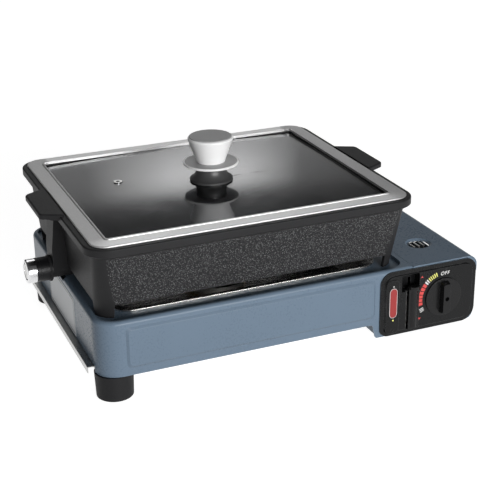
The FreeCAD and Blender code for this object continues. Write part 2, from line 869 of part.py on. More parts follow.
# Vent guard: chromed wire bars hung below the cover's air hole.
def vent_guard():
    top = body_height - dish_depth - cover_sheet - 1
    low = valve_top + dome_height + guard_gap
    reach = vent_radius + 1
    thin = guard_wire - 0.1
    thick = guard_wire + 0.1
    bend_y = vent_y - 2
    wires = []
    for i in (-1, 0, 1):
        x = vent_x + i * guard_pitch
        wires.append(rod(V(x, bend_y, low - guard_wire), V(x, bend_y, top + guard_wire), guard_wire))
        wires.append(rod(V(x, bend_y, top), V(x, vent_y + reach, top), thin))
        wires.append(rod(V(x, vent_y - reach, low), V(x, bend_y, low), thin))
    bar_y = vent_y + reach - 0.5
    side = dish_radius + 2
    low_bar = rod(V(vent_x - reach, vent_y - 8, low), V(vent_x + reach, vent_y - 8, low), thick)
    high_bar = rod(V(vent_x - side, bar_y, top), V(vent_x + side, bar_y, top), thick)
    pads = []
    for way in (-1, 1):
        x = vent_x + way * (dish_radius + 0.5)
        pads.append(rod(V(x, bar_y, top), V(x, bar_y, cover_under), thin))
    return joined(low_bar, high_bar, *wires, *pads)


# Control panel: glossy moulding with a raised field, a lever window and a thumb pocket.
def panel_plan(inset):
    return [
        (panel_left + inset, panel_bottom + inset, 10),
        (panel_right - inset, panel_bottom + inset, 16 - inset / 2),
        (panel_right - inset, panel_top - inset, 13 - inset / 2),
        (panel_left + inset, panel_top - inset, 14 - inset / 2),
    ]


def control_panel():
    base = prism(panel_plan(0), front, -panel_base, 0)
    field = taper(panel_plan(panel_border + 0.9), -panel_depth, panel_plan(panel_border), -panel_base, front)
    right = lever_centre + lever_width / 2 + touch_gap
    low = pocket_low
    back = pocket_depth
    wall = body_sheet
    hood = prism(rect(pocket_left - wall, right + wall, low - wall, pocket_top + wall, 2), front, 0, back)
    pocket = prism(rect(pocket_left, right, low, pocket_top, 2), front, -panel_depth - 1, back - wall)
    slot = prism(rect(slot_left, right, lever_bottom - touch_gap, low + 4, 1), front, -panel_depth - 1, 1)
    arm_way = box(lever_centre - arm_sheet / 2 - 1, lever_centre + arm_sheet / 2 + 1, -1, back + 1,
                  0, low + lever_travel)
    hub = rod(V(knob_x, -panel_depth - 1, knob_height), V(knob_x, 1, knob_height), spindle_radius * 2)
    screws = [rod(V(x, -panel_depth - 1, z), V(x, 1, z), panel_screw_radius)
              for x, z in panel_screw_places()]
    return joined(base, field, hood).cut([pocket, slot, arm_way, hub] + screws)


def panel_screw_places():
    return [(knob_x + 2.5, panel_top - panel_border - 3), (panel_left + 14, panel_bottom + 7.5)]


def panel_screw(place):
    x, z = place
    head = rod(V(x, -panel_depth + 0.4, z), V(x, -panel_depth + 1.4, z), panel_screw_radius)
    return joined(head, rod(V(x, -panel_depth + 1.4, z), V(x, 0, z), panel_screw_radius * 0.7))


# Tongue: narrow raised plate at the panel's left, where the marks go.
def panel_tongue():
    x0 = panel_left + tongue_left
    z0, z1 = panel_bottom + tongue_bottom_margin, panel_top - tongue_top_margin
    plate = prism(rect(x0, x0 + tongue_width, z0, z1, 5), front,
                  -panel_depth - tongue_lift, -panel_depth)
    screw_x, screw_z = panel_screw_places()[1]
    return plate.cut(rod(V(screw_x, -9, screw_z), V(screw_x, 0, screw_z), panel_screw_radius + 0.4))


# Lever: sliding paddle with an arched thumb ledge.
def lever():
    x0, x1 = lever_centre - lever_width / 2, lever_centre + lever_width / 2
    z0, z1 = lever_bottom, lever_top
    back = -lever_front + lever_thickness
    paddle = box(x0, x1, -lever_front, back, z0, z1)
    c0, c1 = lever_centre - column_half_width, lever_centre + column_half_width
    column = prism([(c0, back, 0), (c1, back, 0), (c1, -column_reach, column_half_width - 0.1),
                    (c0, -column_reach, column_half_width - 0.1)], flat, z0 + 2, z1)
    ledge = prism([(x0, back, 0), (x1, back, 0), (x1, -ledge_reach, lever_width / 2 - 0.1),
                   (x0, -ledge_reach, lever_width / 2 - 0.1)], flat, z1 - ledge_thickness, z1)
    return joined(paddle, column, ledge)


# Lever arm: plate behind the paddle with a slanted cam slot.
def lever_arm():
    x0, x1 = lever_centre - arm_sheet / 2, lever_centre + arm_sheet / 2
    plate = box(x0, x1, -lever_front + lever_thickness, arm_length,
                cam_z - cam_plate_below, cam_z + cam_plate_above)
    near = V(0, cam_y, cam_z)
    far = near + V(0, carriage_travel, -lever_travel)
    run = far - near
    across = V(0, -run.z, run.y)
    across.normalize()
    across = across * (cam_pin_radius + running_gap)
    corners = [near + across, far + across, far - across, near - across]
    slot = Part.Face(Part.makePolygon([V(x0 - 1, c.y, c.z) for c in corners + corners[:1]]))
    slot = slot.extrude(V(arm_sheet + 2, 0, 0))
    ends = [rod(V(x0 - 1, p.y, p.z), V(x1 + 1, p.y, p.z), cam_pin_radius + running_gap)
            for p in (near, far)]
    return plate.cut([slot] + ends)


# Carriage: slides on the bay floor, carries the cam pin in front and pushes the cassette behind.
def carriage():
    x0 = lever_centre + arm_sheet / 2 + 1
    floor_z = carriage_z
    top = floor_z + carriage_sheet
    rear = body_depth - pusher_margin
    strip = box(x0, x0 + carriage_width, cam_y - 6, rear + carriage_sheet, floor_z, top)
    cheek = box(x0, x0 + carriage_sheet, cam_y - 6, cam_y + 6, floor_z, cam_z + 4)
    pusher = box(x0, knob_x + 18, rear, rear + carriage_sheet, floor_z, knob_height + 12)
    pusher = rounded(pusher, 6, lambda e: abs(e.BoundBox.YLength - carriage_sheet) < 1e-4
                     and e.BoundBox.ZMin > knob_height and e.BoundBox.XMin > knob_x)
    pin = rod(V(x0 - arm_sheet - 2, cam_y, cam_z), V(x0 + 0.5, cam_y, cam_z), cam_pin_radius)
    return joined(strip, cheek, pusher, pin)


# Gas knob: thin disc with an upright grip that has a round hole through its face.
def gas_knob():
    back = -panel_depth - touch_gap
    face = back - knob_disc
    disc = rod(V(knob_x, face, knob_height), V(knob_x, back, knob_height), knob_radius)
    disc = rounded(disc, 0.5, lambda e: abs(e.BoundBox.YMin - face) < 1e-4)
    half = fin_half_width
    low, high = knob_height - fin_half_height, knob_height + fin_half_height
    wide = [(knob_x - half - 1, low, 2), (knob_x + half + 1, low, 2), (knob_x + half + 1, high, 2),
            (knob_x - half - 1, high, 2)]
    slim = [(knob_x - half, low + 2, 2), (knob_x + half, low + 2, 2), (knob_x + half, high - 2, 2),
            (knob_x - half, high - 2, 2)]
    fin = taper(slim, -fin_reach, wide, face + 0.5, front)
    hub = rod(V(knob_x, back - 0.5, knob_height), V(knob_x, -touch_gap, knob_height), spindle_radius + 2)
    hole = rod(V(knob_x, -fin_reach - 1, knob_height), V(knob_x, -fin_reach + 5, knob_height),
               fin_hole_radius)
    socket = rod(V(knob_x, face - 2, knob_height), V(knob_x, 1, knob_height), spindle_radius)
    return joined(disc, fin, hub).cut([hole, socket])


def gas_spindle():
    start = -panel_depth - touch_gap - knob_disc - 2
    return rod(V(knob_x, start, knob_height), V(knob_x, spindle_depth, knob_height), spindle_radius)


# Drip tray: shallow bright sheet that slides out to the left by its turned-down pull.
def drip_tray():
    t = tray_sheet
    top = tray_floor + tray_rise
    x0 = body_sheet + touch_gap
    x1 = tray_reach
    outer = box(x0, x1, tray_front, tray_back, tray_floor, top)
    hollow = box(x0 + t, x1 - t, tray_front + t, tray_back - t, tray_floor + t, top + 1)
    lip = box(-pull_reach, x0 + t, tray_front, tray_back, top - t, top)
    turn = box(-pull_reach, -pull_reach + t, tray_front, tray_back, top - pull_drop, top)
    tray = joined(outer.cut(hollow), lip, turn)
    return rounded(tray, 0.6, lambda e: at_height(top)(e) and e.BoundBox.XMax < -pull_reach + 0.1)


def tray_rails():
    rails = []
    x0, x1 = rail_start, tray_reach - rail_end_gap
    top = tray_floor + tray_rise
    for y0, inward in ((tray_front - touch_gap, 1), (tray_back + touch_gap, -1)):
        back_y = y0 - inward
        foot_y = y0 - inward * rail_foot
        hook_y = y0 + inward * rail_cover
        upright = box(x0, x1, min(y0, back_y), max(y0, back_y), bottom_sheet, top + rail_hook)
        base = box(x0, x1, min(y0, foot_y), max(y0, foot_y), bottom_sheet, bottom_sheet + 1)
        hook = box(x0, x1, min(back_y, hook_y), max(back_y, hook_y), top + touch_gap, top + rail_hook)
        rails.append(joined(upright, base, hook))
    return group(rails)


# Blank foil plate on the left wall.
def label_plate():
    return prism(rect(label_front, label_back, label_bottom, body_height - label_top_margin, 1.5), side,
                 -label_sheet, 0)


# Pan: cast in one piece with a rim band, two lugs, four corner legs and the drain boss.
def pan_section(z, inset=0.0):
    """Outline of the tapered wall at a height."""
    share = (z - ledge_z) / (pan_rim_bottom - ledge_z)
    length = pan_foot_length + (pan_mouth_length - pan_foot_length) * share
    depth = pan_foot_depth + (pan_mouth_depth - pan_foot_depth) * share
    corner = pan_foot_corner + (pan_mouth_corner - pan_foot_corner) * share
    return middle_rect(pan_x, pan_y, length - 2 * inset, depth - 2 * inset, corner - inset * 0.6)


def pan_lug(way):
    """Tapered grip at one end: way is -1 for the left end and 1 for the right end."""
    base_x = pan_x + way * (pan_rim_length / 2 - 4)
    tip_x = pan_x + way * (pan_rim_length / 2 + lug_reach)
    z0 = lug_top - lug_thickness
    outline = [
        (base_x, pan_y - lug_base / 2 - 2, 0),
        (tip_x, pan_y - lug_tip / 2, lug_corner),
        (tip_x, pan_y + lug_tip / 2, lug_corner),
        (base_x, pan_y + lug_base / 2 + 2, 0),
    ]
    grip = prism(outline, flat, z0, lug_top)
    under = grip.translated(V(-way * 10, 0, -lug_thickness / 2)).common(grip.translated(V(0, 0, -4)))
    grip = joined(grip, under)
    return rounded(grip, 2, lambda e: at_height(lug_top)(e) and e.BoundBox.Center.x * way > base_x * way + 0.1)


def drain_buttress():
    """Thick web between the left lug and the drain boss."""
    y0, y1 = pan_y - buttress_half_width, pan_y + buttress_half_width
    wall_x = pan_x - pan_foot_length / 2 + pan_wall / 2
    top_x = -buttress_top_reach
    outline = [(wall_x, drain_z, 0), (wall_x, lug_top - lug_thickness, 0), (top_x, lug_top - lug_thickness, 0),
               (-drain_boss_reach, pan_foot_z + buttress_knee, 0), (-drain_boss_reach, drain_z, 0)]
    return prism(outline, front, y0, y1)


def pan():
    body = taper(pan_section(pan_foot_z), pan_foot_z, pan_section(pan_rim_bottom), pan_rim_bottom)
    rim_plan = middle_rect(pan_x, pan_y, pan_rim_length, pan_rim_depth, pan_rim_corner)
    under_plan = middle_rect(pan_x, pan_y, pan_mouth_length + 2 * pan_rim_step,
                             pan_mouth_depth + 2 * pan_rim_step, pan_mouth_corner + 2)
    band_z = pan_rim_bottom + pan_rim_chamfer
    rim = joined(taper(under_plan, pan_rim_bottom, rim_plan, band_z), prism(rim_plan, flat, band_z, pan_top))
    rim = rounded(rim, 1.6, at_height(pan_top))
    port_x = pan_x - pan_foot_length / 2 + drain_port_inset
    boss_start = V(port_x + 5, pan_y, drain_z)
    boss_end = V(-drain_boss_reach, pan_y, drain_z)
    boss = rod(boss_start, boss_end, drain_boss_radius)
    under = taper(pan_section(pan_foot_z - 1, pan_wall), pan_foot_z - 1,
                  pan_section(pan_floor - pan_floor_thickness, pan_wall), pan_floor - pan_floor_thickness)
    legs_x = pan_foot_length / 2 - leg_width
    legs_y = pan_foot_depth / 2 - leg_width
    gap_along = box(pan_x - legs_x, pan_x + legs_x, -10, body_depth + 10, pan_foot_z - 1, skirt_bottom)
    gap_across = box(-10, seam_x + 10, pan_y - legs_y, pan_y + legs_y, pan_foot_z - 1, skirt_bottom)
    inside = taper(pan_section(pan_floor, pan_wall), pan_floor,
                   pan_section(pan_rim_bottom, pan_wall), pan_rim_bottom)
    mouth = taper(pan_section(pan_rim_bottom, pan_wall), pan_rim_bottom,
                  pan_section(pan_top + 1, pan_wall), pan_top + 1)
    shell = joined(body.cut([under, gap_along, gap_across]), rim, pan_lug(-1), pan_lug(1))
    shell = joined(shell, drain_buttress(), boss).cut([inside, mouth])
    cross = rod(V(port_x + 4, pan_y, drain_z), V(-40, pan_y, drain_z), drain_bore)
    drop = rod(V(port_x, pan_y, drain_z), V(port_x, pan_y, pan_floor + 1), drain_bore - 1)
    return shell.cut([cross, drop]).removeSplitter()


# Drain: sleeve on the pan's boss, clamp ring, and a quarter-turn cap with its plug spindle.
def drain_tube():
    start = V(-drain_boss_reach, pan_y, drain_z)
    end = V(-drain_tube_reach, pan_y, drain_z)
    sleeve = rounded(rod(start, end, drain_radius), 1, lambda e: e.BoundBox.XMax < -drain_tube_reach + 0.1)
    groove = rod(V(-drain_tube_reach + 3, pan_y, drain_z), V(-drain_tube_reach + 4.2, pan_y, drain_z),
                 drain_radius + 1)
    groove = groove.cut(rod(V(-drain_tube_reach, pan_y, drain_z), V(0, pan_y, drain_z), drain_radius - 0.6))
    return sleeve.cut([groove, rod(start + RIGHT, end - RIGHT, drain_bore)])


def drain_ring():
    x = -drain_boss_reach - 1
    band = rod(V(x, pan_y, drain_z), V(x - drain_ring_width, pan_y, drain_z), drain_ring_radius)
    return band.cut(rod(V(x + 1, pan_y, drain_z), V(x - 9, pan_y, drain_z), drain_radius))


def drain_cap():
    start = V(-drain_tube_reach - touch_gap, pan_y, drain_z)
    end = V(-drain_cap_reach, pan_y, drain_z)
    cap = rod(start, end, drain_radius)
    cap = rounded(cap, 1.5, lambda e: e.BoundBox.XMax < -drain_cap_reach + 0.1)
    dish = rod(end + RIGHT * 1.6, end - RIGHT, drain_radius - 3.5)
    return cap.cut([dish, rod(start + RIGHT, start - RIGHT * 5, drain_bore / 2)])


def drain_badge():
    """Domed inset in the cap's face, kept plain but for an index groove."""
    base = V(-drain_cap_reach + 1.6, pan_y, drain_z)
    inset = rod(base, base - RIGHT * 1.4, drain_radius - 3.6, drain_radius - 5)
    inset = rounded(inset, 0.5, lambda e: e.BoundBox.XMax < -drain_cap_reach + 0.4)
    groove = box(-drain_cap_reach - 1, -drain_cap_reach + 0.7, pan_y - 0.7, pan_y + 0.7,
                 drain_z - 6, drain_z + 6)
    return inset.cut(groove)


def drain_spindle():
    shaft = rod(V(-drain_tube_reach - touch_gap - 5, pan_y, drain_z), V(-drain_boss_reach, pan_y, drain_z),
                drain_bore / 2)
    plug = rod(V(-drain_boss_reach - plug_length, pan_y, drain_z), V(-drain_boss_reach, pan_y, drain_z),
               drain_bore - running_gap)
    return joined(shaft, plug)


# Lid: flat steel frame, rubber channel, domed tinted glass and a steam eyelet.
def glass_height(distance):
    """Height of the glass's upper face at a distance from the lid's centre."""
    return glass_crown - distance * distance / (2 * glass_curve)


def lid_frame():
    outer = middle_rect(pan_x, pan_y, lid_length, lid_depth, lid_corner)
    inner = middle_rect(pan_x, pan_y, lid_length - 2 * lid_border, lid_depth - 2 * lid_border,
                        lid_inner_corner)
    bead_plan = middle_rect(pan_x, pan_y, lid_length - 2 * (lid_border - lid_bead_width),
                            lid_depth - 2 * (lid_border - lid_bead_width),
                            lid_inner_corner + lid_bead_width)
    bead_top = lid_z + lid_sheet + lid_bead_height
    sheet = rounded(prism(outer, flat, lid_z, lid_z + lid_sheet), 0.8, at_height(lid_z + lid_sheet))
    bead = rounded(prism(bead_plan, flat, lid_z, bead_top), 0.9, at_height(bead_top))
    return joined(sheet, bead).cut(prism(inner, flat, lid_z - 1, bead_top + 1))


def glass_plan(grow=0.0):
    inset = lid_border - glass_overlap - grow
    return middle_rect(pan_x, pan_y, lid_length - 2 * inset, lid_depth - 2 * inset, lid_inner_corner + 4)


def lid_glass():
    reach = math.hypot(lid_length, lid_depth) / 2
    t = glass_thickness
    top_arc = Part.Arc(V(0, 0, glass_crown), V(reach / 2, 0, glass_height(reach / 2)),
                       V(reach, 0, glass_height(reach)))
    low_arc = Part.Arc(V(reach, 0, glass_height(reach) - t), V(reach / 2, 0, glass_height(reach / 2) - t),
                       V(0, 0, glass_crown - t))
    edges = [top_arc.toShape(),
             Part.makeLine(V(reach, 0, glass_height(reach)), V(reach, 0, glass_height(reach) - t)),
             low_arc.toShape(),
             Part.makeLine(V(0, 0, glass_crown - t), V(0, 0, glass_crown))]
    dome = Part.Face(Part.Wire(edges)).revolve(V(0, 0, 0), UP, 360).translated(V(handle_x, handle_y, 0))
    return dome.common(prism(glass_plan(), flat, pan_floor, glass_crown + 5))


def lid_glass_drilled():
    centre = V(handle_x, handle_y, 0)
    eye = V(pan_x + eyelet_dx, pan_y + eyelet_dy, 0)
    top = glass_crown + glass_thickness
    holes = [rod(centre + UP * pan_floor, centre + UP * top, lid_bolt_radius),
             rod(eye + UP * pan_floor, eye + UP * top, eyelet_radius - 1)]
    return lid_glass().cut(holes)


def lid_seal():
    band = prism(glass_plan(seal_wall), flat, lid_z - seal_height, lid_z)
    inner = middle_rect(pan_x, pan_y, lid_length - 2 * lid_border + 1, lid_depth - 2 * lid_border + 1,
                        lid_inner_corner)
    ring = band.cut(prism(inner, flat, lid_z - seal_height - 1, lid_z + 1))
    return ring.cut(lid_glass_drilled())


def steam_eyelet():
    eye = V(pan_x + eyelet_dx, pan_y + eyelet_dy, 0)
    top = glass_height(math.hypot(eyelet_dx - handle_dx, eyelet_dy - handle_dy))
    stem = rod(eye + UP * (top - glass_thickness - 1), eye + UP * (top + 0.6), eyelet_radius - 1)
    flanges = [rod(eye + UP * (top + 0.25), eye + UP * (top + 0.9), eyelet_radius),
               rod(eye + UP * (top - glass_thickness - 1), eye + UP * (top - glass_thickness - 0.4),
                   eyelet_radius)]
    hole = rod(eye + UP * (top - 20), eye + UP * (top + 20), eyelet_hole)
    return joined(stem, *flanges).cut(hole)


# Lid handle: flared foot, saucer that shields the hand, and a tapered grip with an inset cap.
def handle_rise(height):
    return V(handle_x, handle_y, glass_crown + height)


def handle_foot():
    profile = [(lid_bolt_radius, 0.0), (handle_foot_radius, 0.0), (handle_foot_radius, 2.2)]
    curve = Part.Arc(V(handle_foot_radius, 0, 2.2), V(handle_neck_radius + 0.6, 0, handle_foot_height * 0.42),
                     V(handle_neck_radius, 0, handle_foot_height))
    edges = [Part.makeLine(V(profile[0][0], 0, 0), V(profile[1][0], 0, 0)),
             Part.makeLine(V(profile[1][0], 0, 0), V(profile[2][0], 0, 2.2)),
             curve.toShape(),
             Part.makeLine(V(handle_neck_radius, 0, handle_foot_height),
                           V(lid_bolt_radius, 0, handle_foot_height)),
             Part.makeLine(V(lid_bolt_radius, 0, handle_foot_height), V(lid_bolt_radius, 0, 0))]
    turned = Part.Face(Part.Wire(edges)).revolve(V(0, 0, 0), UP, 360)
    return turned.translated(handle_rise(0))


def handle_saucer():
    base = handle_foot_height
    disc = rounded(rod(handle_rise(base), handle_rise(base + saucer_height), saucer_radius), 1.2,
                   lambda e: True)
    seat = rod(handle_rise(base + saucer_height - saucer_pad_height), handle_rise(base + 9),
               saucer_pad_radius)
    return disc.cut([seat, rod(handle_rise(base - 1), handle_rise(base + 9), lid_bolt_radius)])


def saucer_pad():
    top = handle_foot_height + saucer_height
    pad = rod(handle_rise(top - saucer_pad_height), handle_rise(top), saucer_pad_radius)
    return pad.cut(rod(handle_rise(top - 5), handle_rise(top + 5), lid_bolt_radius))


def handle_grip():
    base = handle_foot_height + saucer_height
    grip = rod(handle_rise(base), handle_rise(base + grip_height), grip_low_radius, grip_high_radius)
    grip = rounded(grip, 2, lambda e: e.BoundBox.ZMin > glass_crown + base + grip_height - 0.1)
    seat = rod(handle_rise(base + grip_height - grip_cap_height), handle_rise(base + grip_height + 1),
               grip_cap_radius)
    bolt = rod(handle_rise(base - 1), handle_rise(base + 14), lid_bolt_radius)
    return grip.cut([seat, bolt])


def grip_cap():
    base = handle_foot_height + saucer_height + grip_height - grip_cap_height
    cap = rod(handle_rise(base), handle_rise(base + 2 * grip_cap_height), grip_cap_radius)
    return rounded(cap, 0.6, lambda e: e.BoundBox.ZMin > glass_crown + base + 2 * grip_cap_height - 0.1)


def washer_top():
    """Height of the washer's upper face, where its edge meets the domed glass."""
    return glass_height(washer_radius) - glass_thickness - glass_crown


def handle_washer():
    top = washer_top()
    pad = rod(handle_rise(top - washer_height), handle_rise(top), washer_radius)
    return pad.cut(rod(handle_rise(top - 5), handle_rise(top + 5), lid_bolt_radius))


def handle_bolt():
    seat = washer_top() - washer_height
    head = rod(handle_rise(seat - 2.4), handle_rise(seat), lid_bolt_head)
    head = rounded(head, 1, at_height(glass_crown + seat - 2.4))
    shank = rod(handle_rise(seat), handle_rise(handle_foot_height + saucer_height + 13), lid_bolt_radius)
    cross = box(-3, 3, -0.6, 0.6, -1, 1.2).translated(handle_rise(seat - 2.4))
    return joined(head, shank).cut([cross, cross.rotated(handle_rise(0), UP, 90)])


foot_names = ("foot_front_left", "foot_rear_left", "foot_front_right", "foot_rear_right")
foot_sets = [(place, foot_radius, 0) for place in left_feet()]
foot_sets += [(place, bay_foot_radius, -bay_drop) for place in bay_feet()]

pieces = {
    "body_shell": body_shell(),
    "bottom_plate": bottom_plate(),
    "bay_tray": bay_tray(),
    "partition": partition(),
    "burner_well": burner_well(),
    "burner_bracket": burner_bracket(),
    "burner_head": burner_head(),
    "burner_cap": burner_cap(),
    "mixing_tube": mixing_tube(),
    "gas_jet": gas_jet(),
    "valve_body": valve_body(),
    "collar_guide": collar_guide(),
    "piezo_igniter": piezo_igniter(),
    "spark_electrode": spark_electrode(),
    "cassette_cover": cover(),
    "cover_hinge_rod": cover_hinge_rod(),
    "hinge_brackets": hinge_brackets(),
    "vent_guard": vent_guard(),
    "control_panel": control_panel(),
    "panel_tongue": panel_tongue(),
    "panel_screws": group([panel_screw(place) for place in panel_screw_places()]),
    "lever": lever(),
    "lever_arm": lever_arm(),
    "carriage": carriage(),
    "gas_knob": gas_knob(),
    "gas_spindle": gas_spindle(),
    "drip_tray": drip_tray(),
    "tray_rails": tray_rails(),
    "label_plate": label_plate(),
    "foot_screws": group([foot_screw(place, top + body_sheet + screw_end) for place, _, top in foot_sets]),
    "pan": pan(),
    "drain_tube": drain_tube(),
    "drain_ring": drain_ring(),
    "drain_cap": drain_cap(),
    "drain_badge": drain_badge(),
    "drain_spindle": drain_spindle(),
    "lid_frame": lid_frame(),
    "lid_seal": lid_seal(),
    "lid_glass": lid_glass_drilled(),
    "steam_eyelet": steam_eyelet(),
    "handle_foot": handle_foot(),
    "handle_saucer": handle_saucer(),
    "saucer_pad": saucer_pad(),
    "handle_grip": handle_grip(),
    "grip_cap": grip_cap(),
    "handle_washer": handle_washer(),
    "handle_bolt": handle_bolt(),
}
for name, (place, radius, top) in zip(foot_names, foot_sets):
    pieces[name] = foot(place, radius, top)

# The origin is the centre of the outer box, on the ground.
rear = pan_y + pan_rim_depth / 2
home = V(-(body_width - drain_cap_reach) / 2, -(rear - fin_reach) / 2, foot_height)

os.makedirs("parts", exist_ok=True)
for name, shape in pieces.items():
    shape.translated(home).exportStep("parts/" + name + ".step")
    print(name, len(shape.Solids), shape.isValid(), round(shape.Volume))
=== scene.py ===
import math

import bmesh
import bpy
from mathutils import Matrix, Vector


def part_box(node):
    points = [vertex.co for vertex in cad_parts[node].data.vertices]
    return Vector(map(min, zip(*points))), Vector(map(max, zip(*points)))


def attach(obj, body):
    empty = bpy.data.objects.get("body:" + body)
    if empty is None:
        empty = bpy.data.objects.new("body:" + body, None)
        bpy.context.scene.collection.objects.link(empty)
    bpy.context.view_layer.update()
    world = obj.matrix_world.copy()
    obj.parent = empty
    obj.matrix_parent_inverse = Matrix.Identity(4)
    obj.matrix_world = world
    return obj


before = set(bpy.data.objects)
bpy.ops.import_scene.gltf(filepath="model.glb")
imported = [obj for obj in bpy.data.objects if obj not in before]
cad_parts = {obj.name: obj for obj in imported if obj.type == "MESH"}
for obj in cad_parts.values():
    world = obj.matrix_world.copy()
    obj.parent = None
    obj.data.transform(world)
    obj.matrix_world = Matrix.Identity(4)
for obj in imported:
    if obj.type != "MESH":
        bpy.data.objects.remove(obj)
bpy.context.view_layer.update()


# The case: a low box of deep-drawn sheet steel with a recessed bay for the gas cassette on the
# right, closed by a hinged sheet cover. All three pressings are sprayed with one coat of
# slate-blue paint that shows a faint orange peel and thins out over the folded edges.
def add(tree, kind, values=None, **settings):
    """Adds a shader node; values sets its inputs by name or number, as numbers or other outputs."""
    made = tree.nodes.new("ShaderNode" + kind)
    for setting, value in settings.items():
        setattr(made, setting, value)
    for socket, value in (values or {}).items():
        if isinstance(value, bpy.types.NodeSocket):
            tree.links.new(value, made.inputs[socket])
        else:
            made.inputs[socket].default_value = value
    return made


def sum_of(tree, operation, first, second=0.0):
    """One step of arithmetic on masks and values."""
    return add(tree, "Math", {0: first, 1: second}, operation=operation).outputs[0]


def between(tree, value, low, high, out_low=0.0, out_high=1.0):
    """Turns the range low..high of a value into out_low..out_high, held at both ends."""
    ranged = add(tree, "MapRange", {"Value": value, "From Min": low, "From Max": high,
                                    "To Min": out_low, "To Max": out_high})
    return ranged.outputs["Result"]


def tinted(tree, mask, first, second):
    """Goes from the first colour to the second as the mask goes from 0 to 1."""
    mixed = add(tree, "Mix", {0: mask, 6: first, 7: second}, data_type="RGBA")
    return mixed.outputs[2]


def rgb(red, green, blue):
    return (red, green, blue, 1.0)


def new_effect(name, inputs, outputs):
    """Starts a shader node group and returns its tree, the sockets that come in and those that go out."""
    tree = bpy.data.node_groups.new(name, "ShaderNodeTree")
    for label, value in inputs.items():
        socket = tree.interface.new_socket(label, in_out="INPUT", socket_type="NodeSocketFloat")
        socket.default_value = value
    for label in outputs:
        tree.interface.new_socket(label, in_out="OUTPUT", socket_type="NodeSocketFloat")
    return tree, tree.nodes.new("NodeGroupInput").outputs, tree.nodes.new("NodeGroupOutput").inputs


def place(tree, effect, **values):
    """Puts a group into a material with its own values and returns its outputs."""
    placed = tree.nodes.new("ShaderNodeGroup")
    placed.node_tree = effect
    for label, value in values.items():
        placed.inputs[label].default_value = value
    return placed.outputs


# Worn edges, and on the black panel enamel a painted highlight along its edges: the surface's own normal
# is set against one rounded over the edges.
edge_wear_and_highlight, wear_and_highlight_in, wear_and_highlight_out = new_effect(
    "edge_wear_and_highlight", {"Width": 0.0008, "Patches": 90.0, "Amount": 0.6}, ["Mask"])
rounded_normal = add(edge_wear_and_highlight, "Bevel", {"Radius": wear_and_highlight_in["Width"]}, samples=6)
true_normal = add(edge_wear_and_highlight, "NewGeometry")
agree = add(edge_wear_and_highlight, "VectorMath", {0: rounded_normal.outputs[0], 1: true_normal.outputs["Normal"]},
            operation="DOT_PRODUCT")
on_edge = between(edge_wear_and_highlight, agree.outputs["Value"], 0.995, 0.90)
object_space = add(edge_wear_and_highlight, "TexCoord")
patch = add(edge_wear_and_highlight, "TexNoise", {"Vector": object_space.outputs["Object"], "Scale": wear_and_highlight_in["Patches"],
                                    "Detail": 5.0, "Roughness": 0.6})
patchy = between(edge_wear_and_highlight, patch.outputs[0], 0.36, 0.62)
edge_wear_and_highlight.links.new(
    sum_of(edge_wear_and_highlight, "MULTIPLY", sum_of(edge_wear_and_highlight, "MULTIPLY", on_edge, patchy), wear_and_highlight_in["Amount"]),
    wear_and_highlight_out["Mask"])

# Fine grain: the small unevenness of a sprayed, moulded or cast skin, in metres of relief.
fine_grain, grain_in, grain_out = new_effect("fine_grain", {"Scale": 900.0}, ["Relief", "Tone"])
grain_space = add(fine_grain, "TexCoord")
grain = add(fine_grain, "TexNoise", {"Vector": grain_space.outputs["Object"], "Scale": grain_in["Scale"],
                                     "Detail": 2.5, "Roughness": 0.55})
fine_grain.links.new(grain.outputs[0], grain_out["Relief"])
fine_grain.links.new(between(fine_grain, grain.outputs[0], 0.28, 0.72), grain_out["Tone"])

# Cloudy tone: the slow drift of colour and gloss over a hand's breadth, from handling and coating.
cloudy, cloud_in, cloud_out = new_effect("cloudy", {"Scale": 14.0}, ["Tone"])
cloud_space = add(cloudy, "TexCoord")
cloud = add(cloudy, "TexNoise", {"Vector": cloud_space.outputs["Object"], "Scale": cloud_in["Scale"],
                                 "Detail": 4.0, "Roughness": 0.55})
cloudy.links.new(between(cloudy, cloud.outputs[0], 0.3, 0.7), cloud_out["Tone"])


def finish(name, colour, wear_and_highlight_colour, gloss, drift=0.05, grain_scale=900.0, relief=0.00001, wear=0.5,
           wear_and_highlight_width=0.0008, **plain):
    """A material with drifting tone, fine grain in its gloss and relief, and a lighter colour along its
    edges: wear on most parts, a painted highlight on the panel enamel.

    gloss is its lowest and highest roughness; plain sets the shader's other sockets.
    """
    made = bpy.data.materials.new(name)
    made.use_nodes = True
    tree = made.node_tree
    shader = tree.nodes["Principled BSDF"]
    for socket, value in plain.items():
        shader.inputs[socket.replace("_", " ")].default_value = value
    tone = place(tree, cloudy)["Tone"]
    skin = place(tree, fine_grain, Scale=grain_scale)
    edge = place(tree, edge_wear_and_highlight, Width=wear_and_highlight_width, Amount=wear)["Mask"]
    darker = rgb(*[c * (1 - drift) for c in colour])
    lighter = rgb(*[c * (1 + drift) for c in colour])
    body_colour = tinted(tree, tone, darker, lighter)
    # The edge colour is wear on most parts and a painted highlight on the panel enamel.
    tree.links.new(tinted(tree, edge, body_colour, rgb(*wear_and_highlight_colour)), shader.inputs["Base Color"])
    middle = (gloss[0] + gloss[1]) / 2
    slow = between(tree, tone, 0.0, 1.0, gloss[0] - middle, gloss[1] - middle)
    quick = between(tree, skin["Tone"], 0.0, 1.0, gloss[0], gloss[1])
    tree.links.new(sum_of(tree, "ADD", sum_of(tree, "MULTIPLY", slow, 0.5), quick),
                   shader.inputs["Roughness"])
    bump = add(tree, "Bump", {"Strength": 1.0, "Distance": relief, "Height": skin["Relief"]})
    tree.links.new(bump.outputs[0], shader.inputs["Normal"])
    return made


def dress(material, *nodes):
    """Gives the solids of these nodes a material."""
    for node in nodes:
        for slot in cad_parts[node].material_slots:
            slot.material = material


